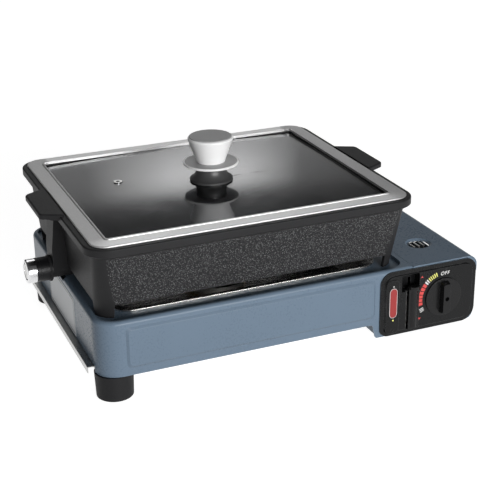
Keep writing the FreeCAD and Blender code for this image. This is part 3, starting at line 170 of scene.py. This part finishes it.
slate_blue_paint = finish("slate_blue_paint", (0.142, 0.194, 0.256), (0.25, 0.32, 0.40), (0.26, 0.32),
                          drift=0.03, grain_scale=480.0, relief=0.000004, wear=0.6, wear_and_highlight_width=0.0012,
                          Specular_IOR_Level=0.2)
dress(slate_blue_paint, "body_shell", "bay_tray", "cassette_cover")


# Pressed parts under and inside the case: bottom plate, partition, burner bracket, guide, hinges,
# lever arm, carriage and tray rails. Zinc-plated sheet steel, bent, spot-welded or screwed, with
# the soft spangle and the faint yellow and blue of a passivated coat.
zinc_plate = finish("zinc_plate", (0.54, 0.55, 0.55), (0.72, 0.72, 0.70), (0.30, 0.46), drift=0.08,
                    grain_scale=420.0, relief=0.000006, wear=0.35, Metallic=1.0)
zinc_tree = zinc_plate.node_tree
zinc_shader = zinc_tree.nodes["Principled BSDF"]
zinc_space = add(zinc_tree, "TexCoord")
spangle = add(zinc_tree, "TexVoronoi", {"Vector": zinc_space.outputs["Object"], "Scale": 210.0})
spangle_tone = add(zinc_tree, "SeparateColor", {0: spangle.outputs["Color"]})
zinc_colour = zinc_shader.inputs["Base Color"].links[0].from_socket
passivated = tinted(zinc_tree, spangle_tone.outputs[0], rgb(0.50, 0.53, 0.56), rgb(0.60, 0.58, 0.52))
spangled = add(zinc_tree, "Mix", {0: 0.55, 6: zinc_colour, 7: passivated}, data_type="RGBA")
zinc_tree.links.new(spangled.outputs[2], zinc_shader.inputs["Base Color"])
dress(zinc_plate, "bottom_plate", "partition", "burner_bracket", "collar_guide", "hinge_brackets",
      "lever_arm", "carriage", "tray_rails")


# The four feet: black rubber mouldings with a dull, slightly dusty skin, each held by a black
# cross-head screw from below.
rubber_feet = finish("rubber_feet", (0.008, 0.008, 0.009), (0.028, 0.028, 0.029), (0.55, 0.72),
                     drift=0.15, grain_scale=1500.0, relief=0.000020, wear=0.35,
                     Specular_IOR_Level=0.25)
dress(rubber_feet, "foot_front_left", "foot_rear_left", "foot_front_right", "foot_rear_right")
black_screws = finish("black_screws", (0.028, 0.028, 0.030), (0.22, 0.22, 0.21), (0.30, 0.45),
                      drift=0.1, grain_scale=1800.0, relief=0.000005, wear=0.7, wear_and_highlight_width=0.0004,
                      Metallic=0.85)
dress(black_screws, "foot_screws", "panel_screws")


# The burner well, drawn from bright stainless sheet and dropped into the case's opening, with the
# cover's hinge rod and the wire guard of the vent in the same bright metal. Drawing and polishing
# leave fine streaks in it.
streaks, streak_in, streak_out = new_effect(
    "streaks", {"Across X": 1.0, "Across Y": 1.0, "Across Z": 1.0}, ["Relief", "Tone"])
streak_space = add(streaks, "TexCoord")
streak_sizes = add(streaks, "CombineXYZ", {0: streak_in["Across X"], 1: streak_in["Across Y"],
                                           2: streak_in["Across Z"]})
stretched = add(streaks, "VectorMath", {0: streak_space.outputs["Object"], 1: streak_sizes.outputs[0]},
                operation="MULTIPLY")
streak = add(streaks, "TexNoise", {"Vector": stretched.outputs[0], "Scale": 1.0, "Detail": 3.0,
                                   "Roughness": 0.6})
streaks.links.new(streak.outputs[0], streak_out["Relief"])
streaks.links.new(between(streaks, streak.outputs[0], 0.3, 0.7), streak_out["Tone"])


def brushed(name, colour, wear_and_highlight_colour, gloss, across, relief=0.000004, **more):
    """A bare metal finish whose gloss and relief run in streaks; across counts them per metre."""
    made = finish(name, colour, wear_and_highlight_colour, gloss, Metallic=1.0, **more)
    tree = made.node_tree
    shader = tree.nodes["Principled BSDF"]
    lines = place(tree, streaks, **{"Across X": across[0], "Across Y": across[1], "Across Z": across[2]})
    base = shader.inputs["Base Color"].links[0].from_socket
    dull = rgb(*[c * 0.86 for c in colour])
    toned = add(tree, "Mix", {0: sum_of(tree, "MULTIPLY", lines["Tone"], 0.45), 6: base, 7: dull},
                data_type="RGBA")
    tree.links.new(toned.outputs[2], shader.inputs["Base Color"])
    rough = shader.inputs["Roughness"].links[0].from_socket
    lined = sum_of(tree, "MULTIPLY", sum_of(tree, "SUBTRACT", lines["Tone"], 0.5), gloss[1] - gloss[0])
    tree.links.new(sum_of(tree, "ADD", rough, lined), shader.inputs["Roughness"])
    grain_bump = shader.inputs["Normal"].links[0].from_socket
    bump = add(tree, "Bump", {"Strength": 1.0, "Distance": relief, "Height": lines["Relief"],
                              "Normal": grain_bump})
    tree.links.new(bump.outputs[0], shader.inputs["Normal"])
    return made


bright_well = brushed("bright_well", (0.66, 0.655, 0.64), (0.80, 0.80, 0.78), (0.18, 0.30),
                      across=(30.0, 900.0, 900.0), drift=0.05, grain_scale=1200.0, relief=0.000003,
                      wear=0.3)
dress(bright_well, "burner_well", "cover_hinge_rod")
nickel_wire = finish("nickel_wire", (0.78, 0.77, 0.75), (0.88, 0.88, 0.87), (0.28, 0.38), drift=0.05,
                     grain_scale=1600.0, relief=0.000003, wear=0.3, Metallic=1.0)
dress(nickel_wire, "vent_guard")


# The burner: a cast aluminium bowl, venturi tube and valve block, left as cast, so they are pale
# grey with a sandy skin. The ported crown, the jet and the valve's spindle are turned brass that
# has darkened with heat.
cast_skin = finish("cast_skin", (0.42, 0.42, 0.41), (0.62, 0.62, 0.60), (0.48, 0.66), drift=0.10,
                   grain_scale=620.0, relief=0.000055, wear=0.6, wear_and_highlight_width=0.0010, Metallic=0.9)
dress(cast_skin, "burner_head", "mixing_tube", "valve_body")
heat_tinted_brass = brushed("heat_tinted_brass", (0.62, 0.42, 0.18), (0.86, 0.68, 0.38), (0.24, 0.40),
                            across=(260.0, 260.0, 1500.0), drift=0.22, grain_scale=900.0,
                            relief=0.000004, wear=0.7)
dress(heat_tinted_brass, "burner_cap", "gas_jet", "gas_spindle")


# The spark: a black moulded piezo block beside the valve and a steel needle in a glazed white
# ceramic tube at the burner's edge.
moulded_black = finish("moulded_black", (0.008, 0.008, 0.009), (0.035, 0.035, 0.036), (0.36, 0.48),
                       drift=0.10, grain_scale=1300.0, relief=0.000012, wear=0.4,
                       Specular_IOR_Level=0.3)
dress(moulded_black, "piezo_igniter")
glazed_ceramic = finish("glazed_ceramic", (0.74, 0.72, 0.68), (0.62, 0.58, 0.52), (0.14, 0.24),
                        drift=0.04, grain_scale=700.0, relief=0.000006, wear=0.4)
dress(glazed_ceramic, "spark_electrode")


# The control panel: black enamelled sheet, raised in front of the case, with a tongue that rises
# in front of the cassette cover, a slot for the locking lever and the gas knob. Knob and lever are
# moulded in glossy black plastic.
# The enamel's pale edge colour is a painted highlight: a light line along the edges of the panel and its
# raised plateau.
enamel = finish("panel_enamel", (0.0065, 0.0067, 0.0071), (0.11, 0.112, 0.115), (0.22, 0.32),
                drift=0.08, grain_scale=1100.0, relief=0.000008, wear=0.6, Specular_IOR_Level=0.2)
dress(enamel, "control_panel", "panel_tongue")
glossy_black = finish("glossy_black", (0.0070, 0.0070, 0.0075), (0.060, 0.060, 0.062), (0.20, 0.30),
                      drift=0.08, grain_scale=1500.0, relief=0.000006, wear=0.6, wear_and_highlight_width=0.0006,
                      Specular_IOR_Level=0.25)
dress(glossy_black, "gas_knob", "lever")


# Marks on the panel, printed in thick ink: a fan round the knob that goes from yellow through white
# to red, the word for closed, two small triangles and three lines at the spark's place. On the
# tongue are a red pill with a pale outline and two dots.
CASE_LEFT, CASE_BOTTOM = -197.0, 27.0
KNOB_X, KNOB_Z = 387.0, 19.5
PILL_X, PILL_LOW, PILL_HIGH, PILL_HALF, PILL_RIM = 324.8, 6.1, 39.9, 4.1, 0.5
OFF_X, OFF_Z = 388.0, 46.6
FAN_INNER, FAN_OUTER = 26.0, 31.0
INK = 0.00012
panel_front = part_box("control_panel")[0].y
tongue_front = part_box("panel_tongue")[0].y


def on_front(x, z, front):
    """A place on the panel's front; x and z are mm from the case's lower left front corner."""
    return Vector(((x + CASE_LEFT) / 1000, front, (z + CASE_BOTTOM) / 1000))


def arc(x, z, radius, start, end, steps=10):
    """Points in mm on an arc round x, z, from one angle to another in degrees, anticlockwise from +X."""
    angles = [math.radians(start + (end - start) * i / steps) for i in range(steps + 1)]
    return [(x + radius * math.cos(a), z + radius * math.sin(a)) for a in angles]


def fan_piece(start, end, inner=FAN_INNER, outer=FAN_OUTER):
    """One segment of the fan round the knob."""
    return arc(KNOB_X, KNOB_Z, outer, start, end) + arc(KNOB_X, KNOB_Z, inner, end, start)


def pill(x, low, high, half):
    """An upright bar with round ends."""
    return arc(x, high - half, half, 0, 180) + arc(x, low + half, half, 180, 360)


def printed(name, outlines, ink, front):
    """Makes printed marks: each outline in mm becomes a film of ink on the front at that depth."""
    mesh = bmesh.new()
    for outline in outlines:
        near = [mesh.verts.new(on_front(x, z, front - INK)) for x, z in outline]
        far = [mesh.verts.new(on_front(x, z, front + INK)) for x, z in outline]
        mesh.faces.new(near)
        mesh.faces.new(far[::-1])
        for i in range(len(outline)):
            j = (i + 1) % len(outline)
            mesh.faces.new((near[j], near[i], far[i], far[j]))
    bmesh.ops.recalc_face_normals(mesh, faces=mesh.faces)
    data = bpy.data.meshes.new(name)
    mesh.to_mesh(data)
    mesh.free()
    data.materials.append(ink)
    made = bpy.data.objects.new(name, data)
    bpy.context.collection.objects.link(made)
    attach(made, "stove")


def ink(name, colour):
    """Screen-printed ink, a little uneven in cover."""
    return finish(name, colour, [c * 0.8 for c in colour], (0.38, 0.52), drift=0.06,
                  grain_scale=2400.0, relief=0.000006, wear=0.25, wear_and_highlight_width=0.0002)


white_ink = ink("white_ink", (0.68, 0.68, 0.67))
yellow_ink = ink("yellow_ink", (0.88, 0.86, 0.22))
red_ink = ink("red_ink", (0.62, 0.060, 0.055))
dark_red_ink = ink("dark_red_ink", (0.30, 0.020, 0.020))

yellow_bars = [fan_piece(a, a + 2.0) for a in (107.5, 112.2, 116.9, 121.6, 126.3)]
printed("fan_yellow", yellow_bars, yellow_ink, panel_front)
printed("fan_white", [fan_piece(131.2, 134.0), fan_piece(136.0, 139.6)], white_ink, panel_front)
red_bars = [fan_piece(a, a + 6.9) for a in (141.8, 150.5, 159.2, 167.9, 176.6, 185.3)]
printed("fan_red", red_bars, red_ink, panel_front)
spark_lines = [fan_piece(a, a + 1.6, FAN_INNER + 0.3, FAN_OUTER + 0.4)
               for a in (199.5, 203.0, 206.5)]
printed("spark_lines", spark_lines, white_ink, panel_front)
printed("triangle_upper", [[(358.3, 46.2), (361.3, 46.2), (359.8, 48.6)]], red_ink, panel_front)
printed("triangle_lower", [[(356.8, -1.0), (358.3, -3.4), (359.8, -1.0)]], red_ink, panel_front)
printed("tongue_pill_rim", [pill(PILL_X, PILL_LOW - PILL_RIM, PILL_HIGH + PILL_RIM, PILL_HALF + PILL_RIM)],
        white_ink, tongue_front)
printed("tongue_pill", [pill(PILL_X, PILL_LOW, PILL_HIGH, PILL_HALF)], dark_red_ink,
        tongue_front - INK)
printed("tongue_dots", [arc(PILL_X, 42.6, 0.8, 0, 324, 9)], white_ink, tongue_front)
printed("tongue_dot_low", [arc(PILL_X, 2.9, 1.0, 0, 324, 9)], yellow_ink, tongue_front)

letters = bpy.data.curves.new("off_letters", "FONT")
letters.body = "OFF"
letters.size = 0.0056
letters.shear = 0.2
letters.offset = 0.00012
letters.space_character = 1.2
letters.align_x = "CENTER"
letters.align_y = "CENTER"
letters.extrude = INK
off_shape = bpy.data.objects.new("off_shape", letters)
bpy.context.collection.objects.link(off_shape)
off_mesh = bpy.data.meshes.new_from_object(off_shape)
bpy.data.objects.remove(off_shape)
off_mesh.transform(Matrix.Translation(on_front(OFF_X, OFF_Z, panel_front))
                   @ Matrix.Rotation(math.radians(90), 4, "X"))
off_mesh.materials.clear()
off_mesh.materials.append(white_ink)
off_word = bpy.data.objects.new("off_word", off_mesh)
bpy.context.collection.objects.link(off_word)
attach(off_word, "stove")


# The drip tray that slides out under the burner, a shallow pressing of thin stainless sheet, and
# the label plate on the left wall, a pale foil with a thin printed border.
tray_sheet = brushed("tray_sheet", (0.50, 0.50, 0.49), (0.82, 0.82, 0.80), (0.26, 0.40),
                     across=(40.0, 1100.0, 1100.0), drift=0.06, grain_scale=1300.0, relief=0.000003,
                     wear=0.6)
dress(tray_sheet, "drip_tray")
label_foil = finish("label_foil", (0.82, 0.85, 0.87), (0.60, 0.62, 0.63), (0.30, 0.42), drift=0.02,
                    grain_scale=1700.0, relief=0.000005, wear=0.4, wear_and_highlight_width=0.0004)
dress(label_foil, "label_plate")
LABEL_RULE, LABEL_MARGIN = 0.0004, 0.0025
label_low, label_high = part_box("label_plate")
rules = bmesh.new()


def rule(y_low, y_high, z_low, z_high):
    """One printed line on the label's face, as a film between two heights and two depths."""
    corners = [(y_low, z_low), (y_high, z_low), (y_high, z_high), (y_low, z_high)]
    near = [rules.verts.new((label_low.x - INK, y, z)) for y, z in corners]
    far = [rules.verts.new((label_low.x + INK, y, z)) for y, z in corners]
    rules.faces.new(near)
    rules.faces.new(far[::-1])
    for i in range(4):
        rules.faces.new((near[(i + 1) % 4], near[i], far[i], far[(i + 1) % 4]))


inner_low = Vector((0, label_low.y + LABEL_MARGIN, label_low.z + LABEL_MARGIN))
inner_high = Vector((0, label_high.y - LABEL_MARGIN, label_high.z - LABEL_MARGIN))
for edge in (inner_low.z, inner_high.z):
    rule(inner_low.y, inner_high.y, edge, edge + LABEL_RULE)
for edge in (inner_low.y, inner_high.y - LABEL_RULE):
    rule(edge, edge + LABEL_RULE, inner_low.z, inner_high.z)
bmesh.ops.recalc_face_normals(rules, faces=rules.faces)
rules_mesh = bpy.data.meshes.new("label_rules")
rules.to_mesh(rules_mesh)
rules.free()
grey_ink = ink("grey_ink", (0.12, 0.13, 0.14))
rules_mesh.materials.append(grey_ink)
label_rules = bpy.data.objects.new("label_rules", rules_mesh)
bpy.context.collection.objects.link(label_rules)
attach(label_rules, "stove")


# The pan: drawn aluminium with welded lugs and legs, sprayed inside and out with charcoal
# non-stick coating. The flat front and rear walls carry a fine pale fleck.
coating = finish("pan_coating", (0.021, 0.021, 0.022), (0.075, 0.075, 0.078), (0.44, 0.56), drift=0.08,
                 grain_scale=1000.0, relief=0.000014, wear=0.35, wear_and_highlight_width=0.0010,
                 Specular_IOR_Level=0.12)
coat_tree = coating.node_tree
coat_shader = coat_tree.nodes["Principled BSDF"]
coat_space = add(coat_tree, "TexCoord")
coat_place = add(coat_tree, "SeparateXYZ", {0: coat_space.outputs["Object"]})
coat_facing = add(coat_tree, "SeparateXYZ", {0: coat_space.outputs["Normal"]})
WALL_START, WALL_END = 0.118, 0.122
RIM_START, RIM_END = 0.156, 0.153
LEG_START, LEG_END = 0.094, 0.098
outward = sum_of(coat_tree, "MULTIPLY", coat_place.outputs[1], coat_facing.outputs[1])
flat_wall = between(coat_tree, outward, WALL_START, WALL_END)
under_rim = between(coat_tree, coat_place.outputs[2], RIM_START, RIM_END)
above_legs = between(coat_tree, coat_place.outputs[2], LEG_START, LEG_END)
flecked_wall = sum_of(coat_tree, "MULTIPLY", sum_of(coat_tree, "MULTIPLY", flat_wall, under_rim),
                      above_legs)
fleck_cells = add(coat_tree, "TexVoronoi", {"Vector": coat_space.outputs["Object"], "Scale": 1200.0})
fleck_pick = add(coat_tree, "SeparateColor", {0: fleck_cells.outputs["Color"]})
fleck_size = between(coat_tree, fleck_pick.outputs[0], 0.10, 1.0, 0.0, 0.52)
fleck_edge = sum_of(coat_tree, "SUBTRACT", fleck_size, fleck_cells.outputs["Distance"])
fleck = between(coat_tree, fleck_edge, 0.0, 0.10)
fleck_mask = sum_of(coat_tree, "MULTIPLY", fleck, flecked_wall)
plain_coat = coat_shader.inputs["Base Color"].links[0].from_socket
coat_tree.links.new(tinted(coat_tree, fleck_mask, plain_coat, rgb(0.21, 0.21, 0.215)),
                    coat_shader.inputs["Base Color"])
dress(coating, "pan", "drain_ring")


# The drain at the pan's left end: a black plastic spout with a plug spindle, closed by a chromed
# turning cap. The cap has a domed steel inset and a black line that shows where it points.
dress(moulded_black, "drain_tube")
chrome = brushed("chrome", (0.74, 0.74, 0.75), (0.85, 0.85, 0.85), (0.14, 0.22),
                 across=(600.0, 200.0, 200.0), drift=0.03, grain_scale=1500.0, relief=0.000001,
                 wear=0.3)
dress(chrome, "drain_cap")
polished_steel = brushed("polished_steel", (0.60, 0.60, 0.59), (0.80, 0.80, 0.79), (0.14, 0.24),
                         across=(400.0, 400.0, 400.0), drift=0.05, grain_scale=1500.0,
                         relief=0.000002, wear=0.4)
dress(polished_steel, "drain_badge", "drain_spindle")

cap_low, cap_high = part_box("drain_cap")
cap_y, cap_z = (cap_low.y + cap_high.y) / 2, (cap_low.z + cap_high.z) / 2
index_line = bmesh.new()
index_inner, index_outer, index_half, index_sunk = 0.0100, 0.0132, 0.0004, 0.0012
index_plan = [(-index_half, index_inner), (index_half, index_inner), (index_half, index_outer),
              (0.0, index_outer + index_half), (-index_half, index_outer)]
index_front = [index_line.verts.new((cap_low.x - INK, cap_y + y, cap_z + z)) for y, z in index_plan]
index_back = [index_line.verts.new((cap_low.x + index_sunk, cap_y + y, cap_z + z))
              for y, z in index_plan]
index_line.faces.new(index_front)
index_line.faces.new(index_back[::-1])
for i in range(len(index_plan)):
    j = (i + 1) % len(index_plan)
    index_line.faces.new((index_front[j], index_front[i], index_back[i], index_back[j]))
bmesh.ops.recalc_face_normals(index_line, faces=index_line.faces)
index_mesh = bpy.data.meshes.new("cap_index")
index_line.to_mesh(index_mesh)
index_line.free()
index_mesh.materials.append(moulded_black)
cap_index = bpy.data.objects.new("cap_index", index_mesh)
bpy.context.collection.objects.link(cap_index)
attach(cap_index, "drain")


# The lid: a pressed stainless frame with a rolled inner bead, holding smoked tempered glass in a
# black rubber channel. A small steel eyelet lets the steam out.
lid_sheet = brushed("lid_sheet", (0.67, 0.67, 0.67), (0.80, 0.80, 0.79), (0.42, 0.52),
                    across=(500.0, 500.0, 500.0), drift=0.03, grain_scale=1200.0, relief=0.000001,
                    wear=0.3)
# The frame falls off gently towards its rim at the front and the sides.
frame_low, frame_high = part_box("lid_frame")
FRAME_CORNER, FRAME_FALL = 0.024, 0.20
frame_tree = lid_sheet.node_tree
frame_shader = frame_tree.nodes["Principled BSDF"]
frame_space = add(frame_tree, "TexCoord")
frame_place = add(frame_tree, "SeparateXYZ", {0: frame_space.outputs["Object"]})
sides = [sum_of(frame_tree, "SUBTRACT", frame_low.x + FRAME_CORNER, frame_place.outputs[0]),
         sum_of(frame_tree, "SUBTRACT", frame_place.outputs[0], frame_high.x - FRAME_CORNER)]
beyond = [sum_of(frame_tree, "MAXIMUM", sum_of(frame_tree, "MAXIMUM", *sides), 0.0),
          sum_of(frame_tree, "MAXIMUM", sum_of(frame_tree, "SUBTRACT", frame_low.y + FRAME_CORNER,
                                               frame_place.outputs[1]), 0.0)]
squared = [sum_of(frame_tree, "MULTIPLY", b, b) for b in beyond]
rim_reach = sum_of(frame_tree, "SQRT", sum_of(frame_tree, "ADD", squared[0], squared[1]))
frame_fall = add(frame_tree, "Bump", {
    "Strength": 1.0, "Distance": 1.0, "Height": sum_of(frame_tree, "MULTIPLY", rim_reach, -FRAME_FALL),
    "Normal": frame_shader.inputs["Normal"].links[0].from_socket})
frame_tree.links.new(frame_fall.outputs[0], frame_shader.inputs["Normal"])
dress(lid_sheet, "lid_frame")
rubber_channel = finish("rubber_channel", (0.018, 0.018, 0.019), (0.045, 0.045, 0.046), (0.55, 0.72),
                        drift=0.1, grain_scale=1500.0, relief=0.000012, wear=0.3)
dress(rubber_channel, "lid_seal", "handle_washer")
dress(polished_steel, "steam_eyelet", "handle_bolt")

smoked_glass = bpy.data.materials.new("smoked_glass")
smoked_glass.use_nodes = True
glass_tree = smoked_glass.node_tree
glass_shader = glass_tree.nodes["Principled BSDF"]
glass_shader.inputs["Transmission Weight"].default_value = 1.0
glass_shader.inputs["IOR"].default_value = 1.52
glass_smear = place(glass_tree, cloudy, Scale=26.0)["Tone"]
glass_skin = place(glass_tree, fine_grain, Scale=160.0)
glass_tree.links.new(tinted(glass_tree, glass_smear, rgb(0.30, 0.31, 0.33), rgb(0.34, 0.35, 0.37)),
                     glass_shader.inputs["Base Color"])
glass_tree.links.new(between(glass_tree, glass_smear, 0.0, 1.0, 0.06, 0.09),
                     glass_shader.inputs["Roughness"])
glass_wave = add(glass_tree, "Bump", {"Strength": 1.0, "Distance": 0.000003,
                                      "Height": glass_skin["Relief"]})
glass_tree.links.new(glass_wave.outputs[0], glass_shader.inputs["Normal"])
dress(smoked_glass, "lid_glass")


# The lid's handle, bolted through the glass: a flared foot of black heat-proof resin, a white
# saucer and grip with grey insets in their tops, all compression moulded.
resin_black = finish("resin_black", (0.054, 0.054, 0.055), (0.070, 0.070, 0.070), (0.34, 0.46),
                     drift=0.08, grain_scale=1200.0, relief=0.000009, wear=0.4)
dress(resin_black, "handle_foot")
resin_white = finish("resin_white", (0.92, 0.92, 0.92), (0.80, 0.79, 0.77), (0.28, 0.38), drift=0.02,
                     grain_scale=1100.0, relief=0.000006, wear=0.4)
dress(resin_white, "handle_saucer", "handle_grip")
resin_grey = finish("resin_grey", (0.38, 0.38, 0.385), (0.48, 0.48, 0.48), (0.42, 0.56), drift=0.05,
                    grain_scale=1500.0, relief=0.000012, wear=0.4)
dress(resin_grey, "saucer_pad", "grip_cap")


# The table top: one wide white board. What the camera and the bright parts see of it is lifted to
# the white of the studio's backdrop, and it keeps the stove's soft shadow.
floor_mesh = bpy.data.meshes.new("table_top")
FLOOR_HALF = 14.0
floor_mesh.from_pydata([(-FLOOR_HALF, -FLOOR_HALF, 0), (FLOOR_HALF, -FLOOR_HALF, 0),
                        (FLOOR_HALF, FLOOR_HALF, 0), (-FLOOR_HALF, FLOOR_HALF, 0)], [], [(0, 1, 2, 3)])
floor = bpy.data.objects.new("table_top", floor_mesh)
bpy.context.collection.objects.link(floor)
board = bpy.data.materials.new("white_board")
board.use_nodes = True
board_tree = board.node_tree
board_tree.nodes.remove(board_tree.nodes["Principled BSDF"])
board_space = add(board_tree, "TexCoord")
board_grain = add(board_tree, "TexNoise", {"Vector": board_space.outputs["Object"], "Scale": 300.0})
lit_board = add(board_tree, "BsdfDiffuse", {
    "Color": tinted(board_tree, board_grain.outputs[0], rgb(0.60, 0.60, 0.60), rgb(0.64, 0.64, 0.64))})
shown_board = add(board_tree, "BsdfDiffuse", {"Color": rgb(0.45, 0.45, 0.45)})
board_reach = add(board_tree, "VectorMath", {0: board_space.outputs["Object"]}, operation="LENGTH")
glow = add(board_tree, "Emission", {
    "Color": rgb(1.0, 1.0, 1.0),
    "Strength": between(board_tree, board_reach.outputs["Value"], 0.5, 2.0, 0.90, 0.98)})
backdrop_white = add(board_tree, "AddShader", {0: shown_board.outputs[0], 1: glow.outputs[0]})
ray = add(board_tree, "LightPath")
seen = sum_of(board_tree, "MAXIMUM", ray.outputs["Is Camera Ray"],
              sum_of(board_tree, "MAXIMUM", ray.outputs["Is Glossy Ray"],
                     ray.outputs["Is Transmission Ray"]))
board_shader = add(board_tree, "MixShader", {0: seen, 1: lit_board.outputs[0],
                                             2: backdrop_white.outputs[0]})
board_tree.links.new(board_shader.outputs[0], board_tree.nodes["Material Output"].inputs["Surface"])
floor_mesh.materials.append(board)


# The studio: a large soft lamp low in front, a weak one from the left, and a grey wall all round
# with a lit panel at the rear where the glass lid mirrors it, and one higher up for the lid's frame.
AIM = Vector((0, 0, 0.08))


def soft_lamp(name, azimuth, elevation, distance, width, height, watts):
    """A soft box aimed at the stove; azimuth 0 is in front, 90 to the right, in degrees."""
    lamp_data = bpy.data.lights.new(name, "AREA")
    lamp_data.shape = "RECTANGLE"
    lamp_data.size, lamp_data.size_y = width, height
    lamp_data.energy = watts
    lamp = bpy.data.objects.new(name, lamp_data)
    bpy.context.collection.objects.link(lamp)
    turn, rise = math.radians(azimuth), math.radians(elevation)
    toward = Vector((math.sin(turn) * math.cos(rise), -math.cos(turn) * math.cos(rise), math.sin(rise)))
    lamp.location = AIM + toward * distance
    lamp.rotation_mode = "QUATERNION"
    lamp.rotation_quaternion = toward.to_track_quat("Z", "Y")


soft_lamp("front_box", 7.0, 10.0, 2.4, 1.6, 0.8, 57.0)
soft_lamp("left_box", -62.0, 14.0, 2.4, 1.0, 0.8, 1.6)

world = bpy.data.worlds.new("studio")
bpy.context.scene.world = world
world.use_nodes = True
sky = world.node_tree
direction = add(sky, "TexCoord")
heading = add(sky, "SeparateXYZ", {0: direction.outputs["Generated"]})
ahead = sum_of(sky, "MAXIMUM", heading.outputs[1], 0.02)
climb = sum_of(sky, "DIVIDE", heading.outputs[2], ahead)
sideways = sum_of(sky, "DIVIDE", heading.outputs[0], ahead)
REAR_WALL, LIGHT_PANEL, UPPER_PANEL = 0.38, 1.75, 1.65
wall_span = sum_of(sky, "MULTIPLY", between(sky, sideways, 0.62, 0.46),
                   between(sky, sideways, -0.2, 0.1))
rear_wall = sum_of(sky, "MULTIPLY", between(sky, climb, 0.425, 0.385, 0.0, REAR_WALL), wall_span)
panel_rise = sum_of(sky, "MULTIPLY", between(sky, climb, 0.30, 0.355, 0.4, 1.0),
                    between(sky, climb, 0.412, 0.385))
panel_span = sum_of(sky, "MULTIPLY", between(sky, sideways, 0.24, 0.335),
                    between(sky, sideways, 0.48, 0.41))
light_panel = sum_of(sky, "MULTIPLY", sum_of(sky, "MULTIPLY", panel_rise, panel_span), LIGHT_PANEL)
upper = Vector((0.24, 0.64, 0.73)).normalized()
toward_upper = add(sky, "VectorMath", {0: direction.outputs["Generated"], 1: upper},
                   operation="DOT_PRODUCT")
upper_panel = between(sky, toward_upper.outputs["Value"], 0.94, 0.985, 0.0, UPPER_PANEL)
low_wall = between(sky, heading.outputs[2], 0.45, 0.25, 0.09, 0.13)
level = sum_of(sky, "ADD", sum_of(sky, "ADD", low_wall, rear_wall),
               sum_of(sky, "ADD", light_panel, upper_panel))
sky.links.new(level, sky.nodes["Background"].inputs["Strength"])
sky.nodes["Background"].inputs["Color"].default_value = rgb(1.0, 1.0, 1.0)
bpy.context.scene.view_settings.view_transform = "Standard"


# The camera, where the photograph was taken: a short telephoto from the front left, a little
# above the lid, turned by less than a degree.
CAMERA_PLACE = Vector((-0.45276, -1.14792, 0.59639))
CAMERA_AZIMUTH = math.radians(-22.48)
CAMERA_ELEVATION = math.radians(22.74)
CAMERA_ROLL = math.radians(-0.86)
CAMERA_LENS = 85.41
back = Vector((math.sin(CAMERA_AZIMUTH) * math.cos(CAMERA_ELEVATION),
               -math.cos(CAMERA_AZIMUTH) * math.cos(CAMERA_ELEVATION),
               math.sin(CAMERA_ELEVATION)))
across = Vector((0, 0, 1)).cross(back).normalized()
upward = back.cross(across)
turned_across = across * math.cos(CAMERA_ROLL) + upward * math.sin(CAMERA_ROLL)
turned_up = upward * math.cos(CAMERA_ROLL) - across * math.sin(CAMERA_ROLL)
camera = bpy.data.objects.new("camera", bpy.data.cameras.new("camera"))
bpy.context.collection.objects.link(camera)
camera.data.lens = CAMERA_LENS
camera.matrix_world = Matrix.Translation(CAMERA_PLACE) @ Matrix(
    (turned_across, turned_up, back)).transposed().to_4x4()
bpy.context.scene.camera = camera
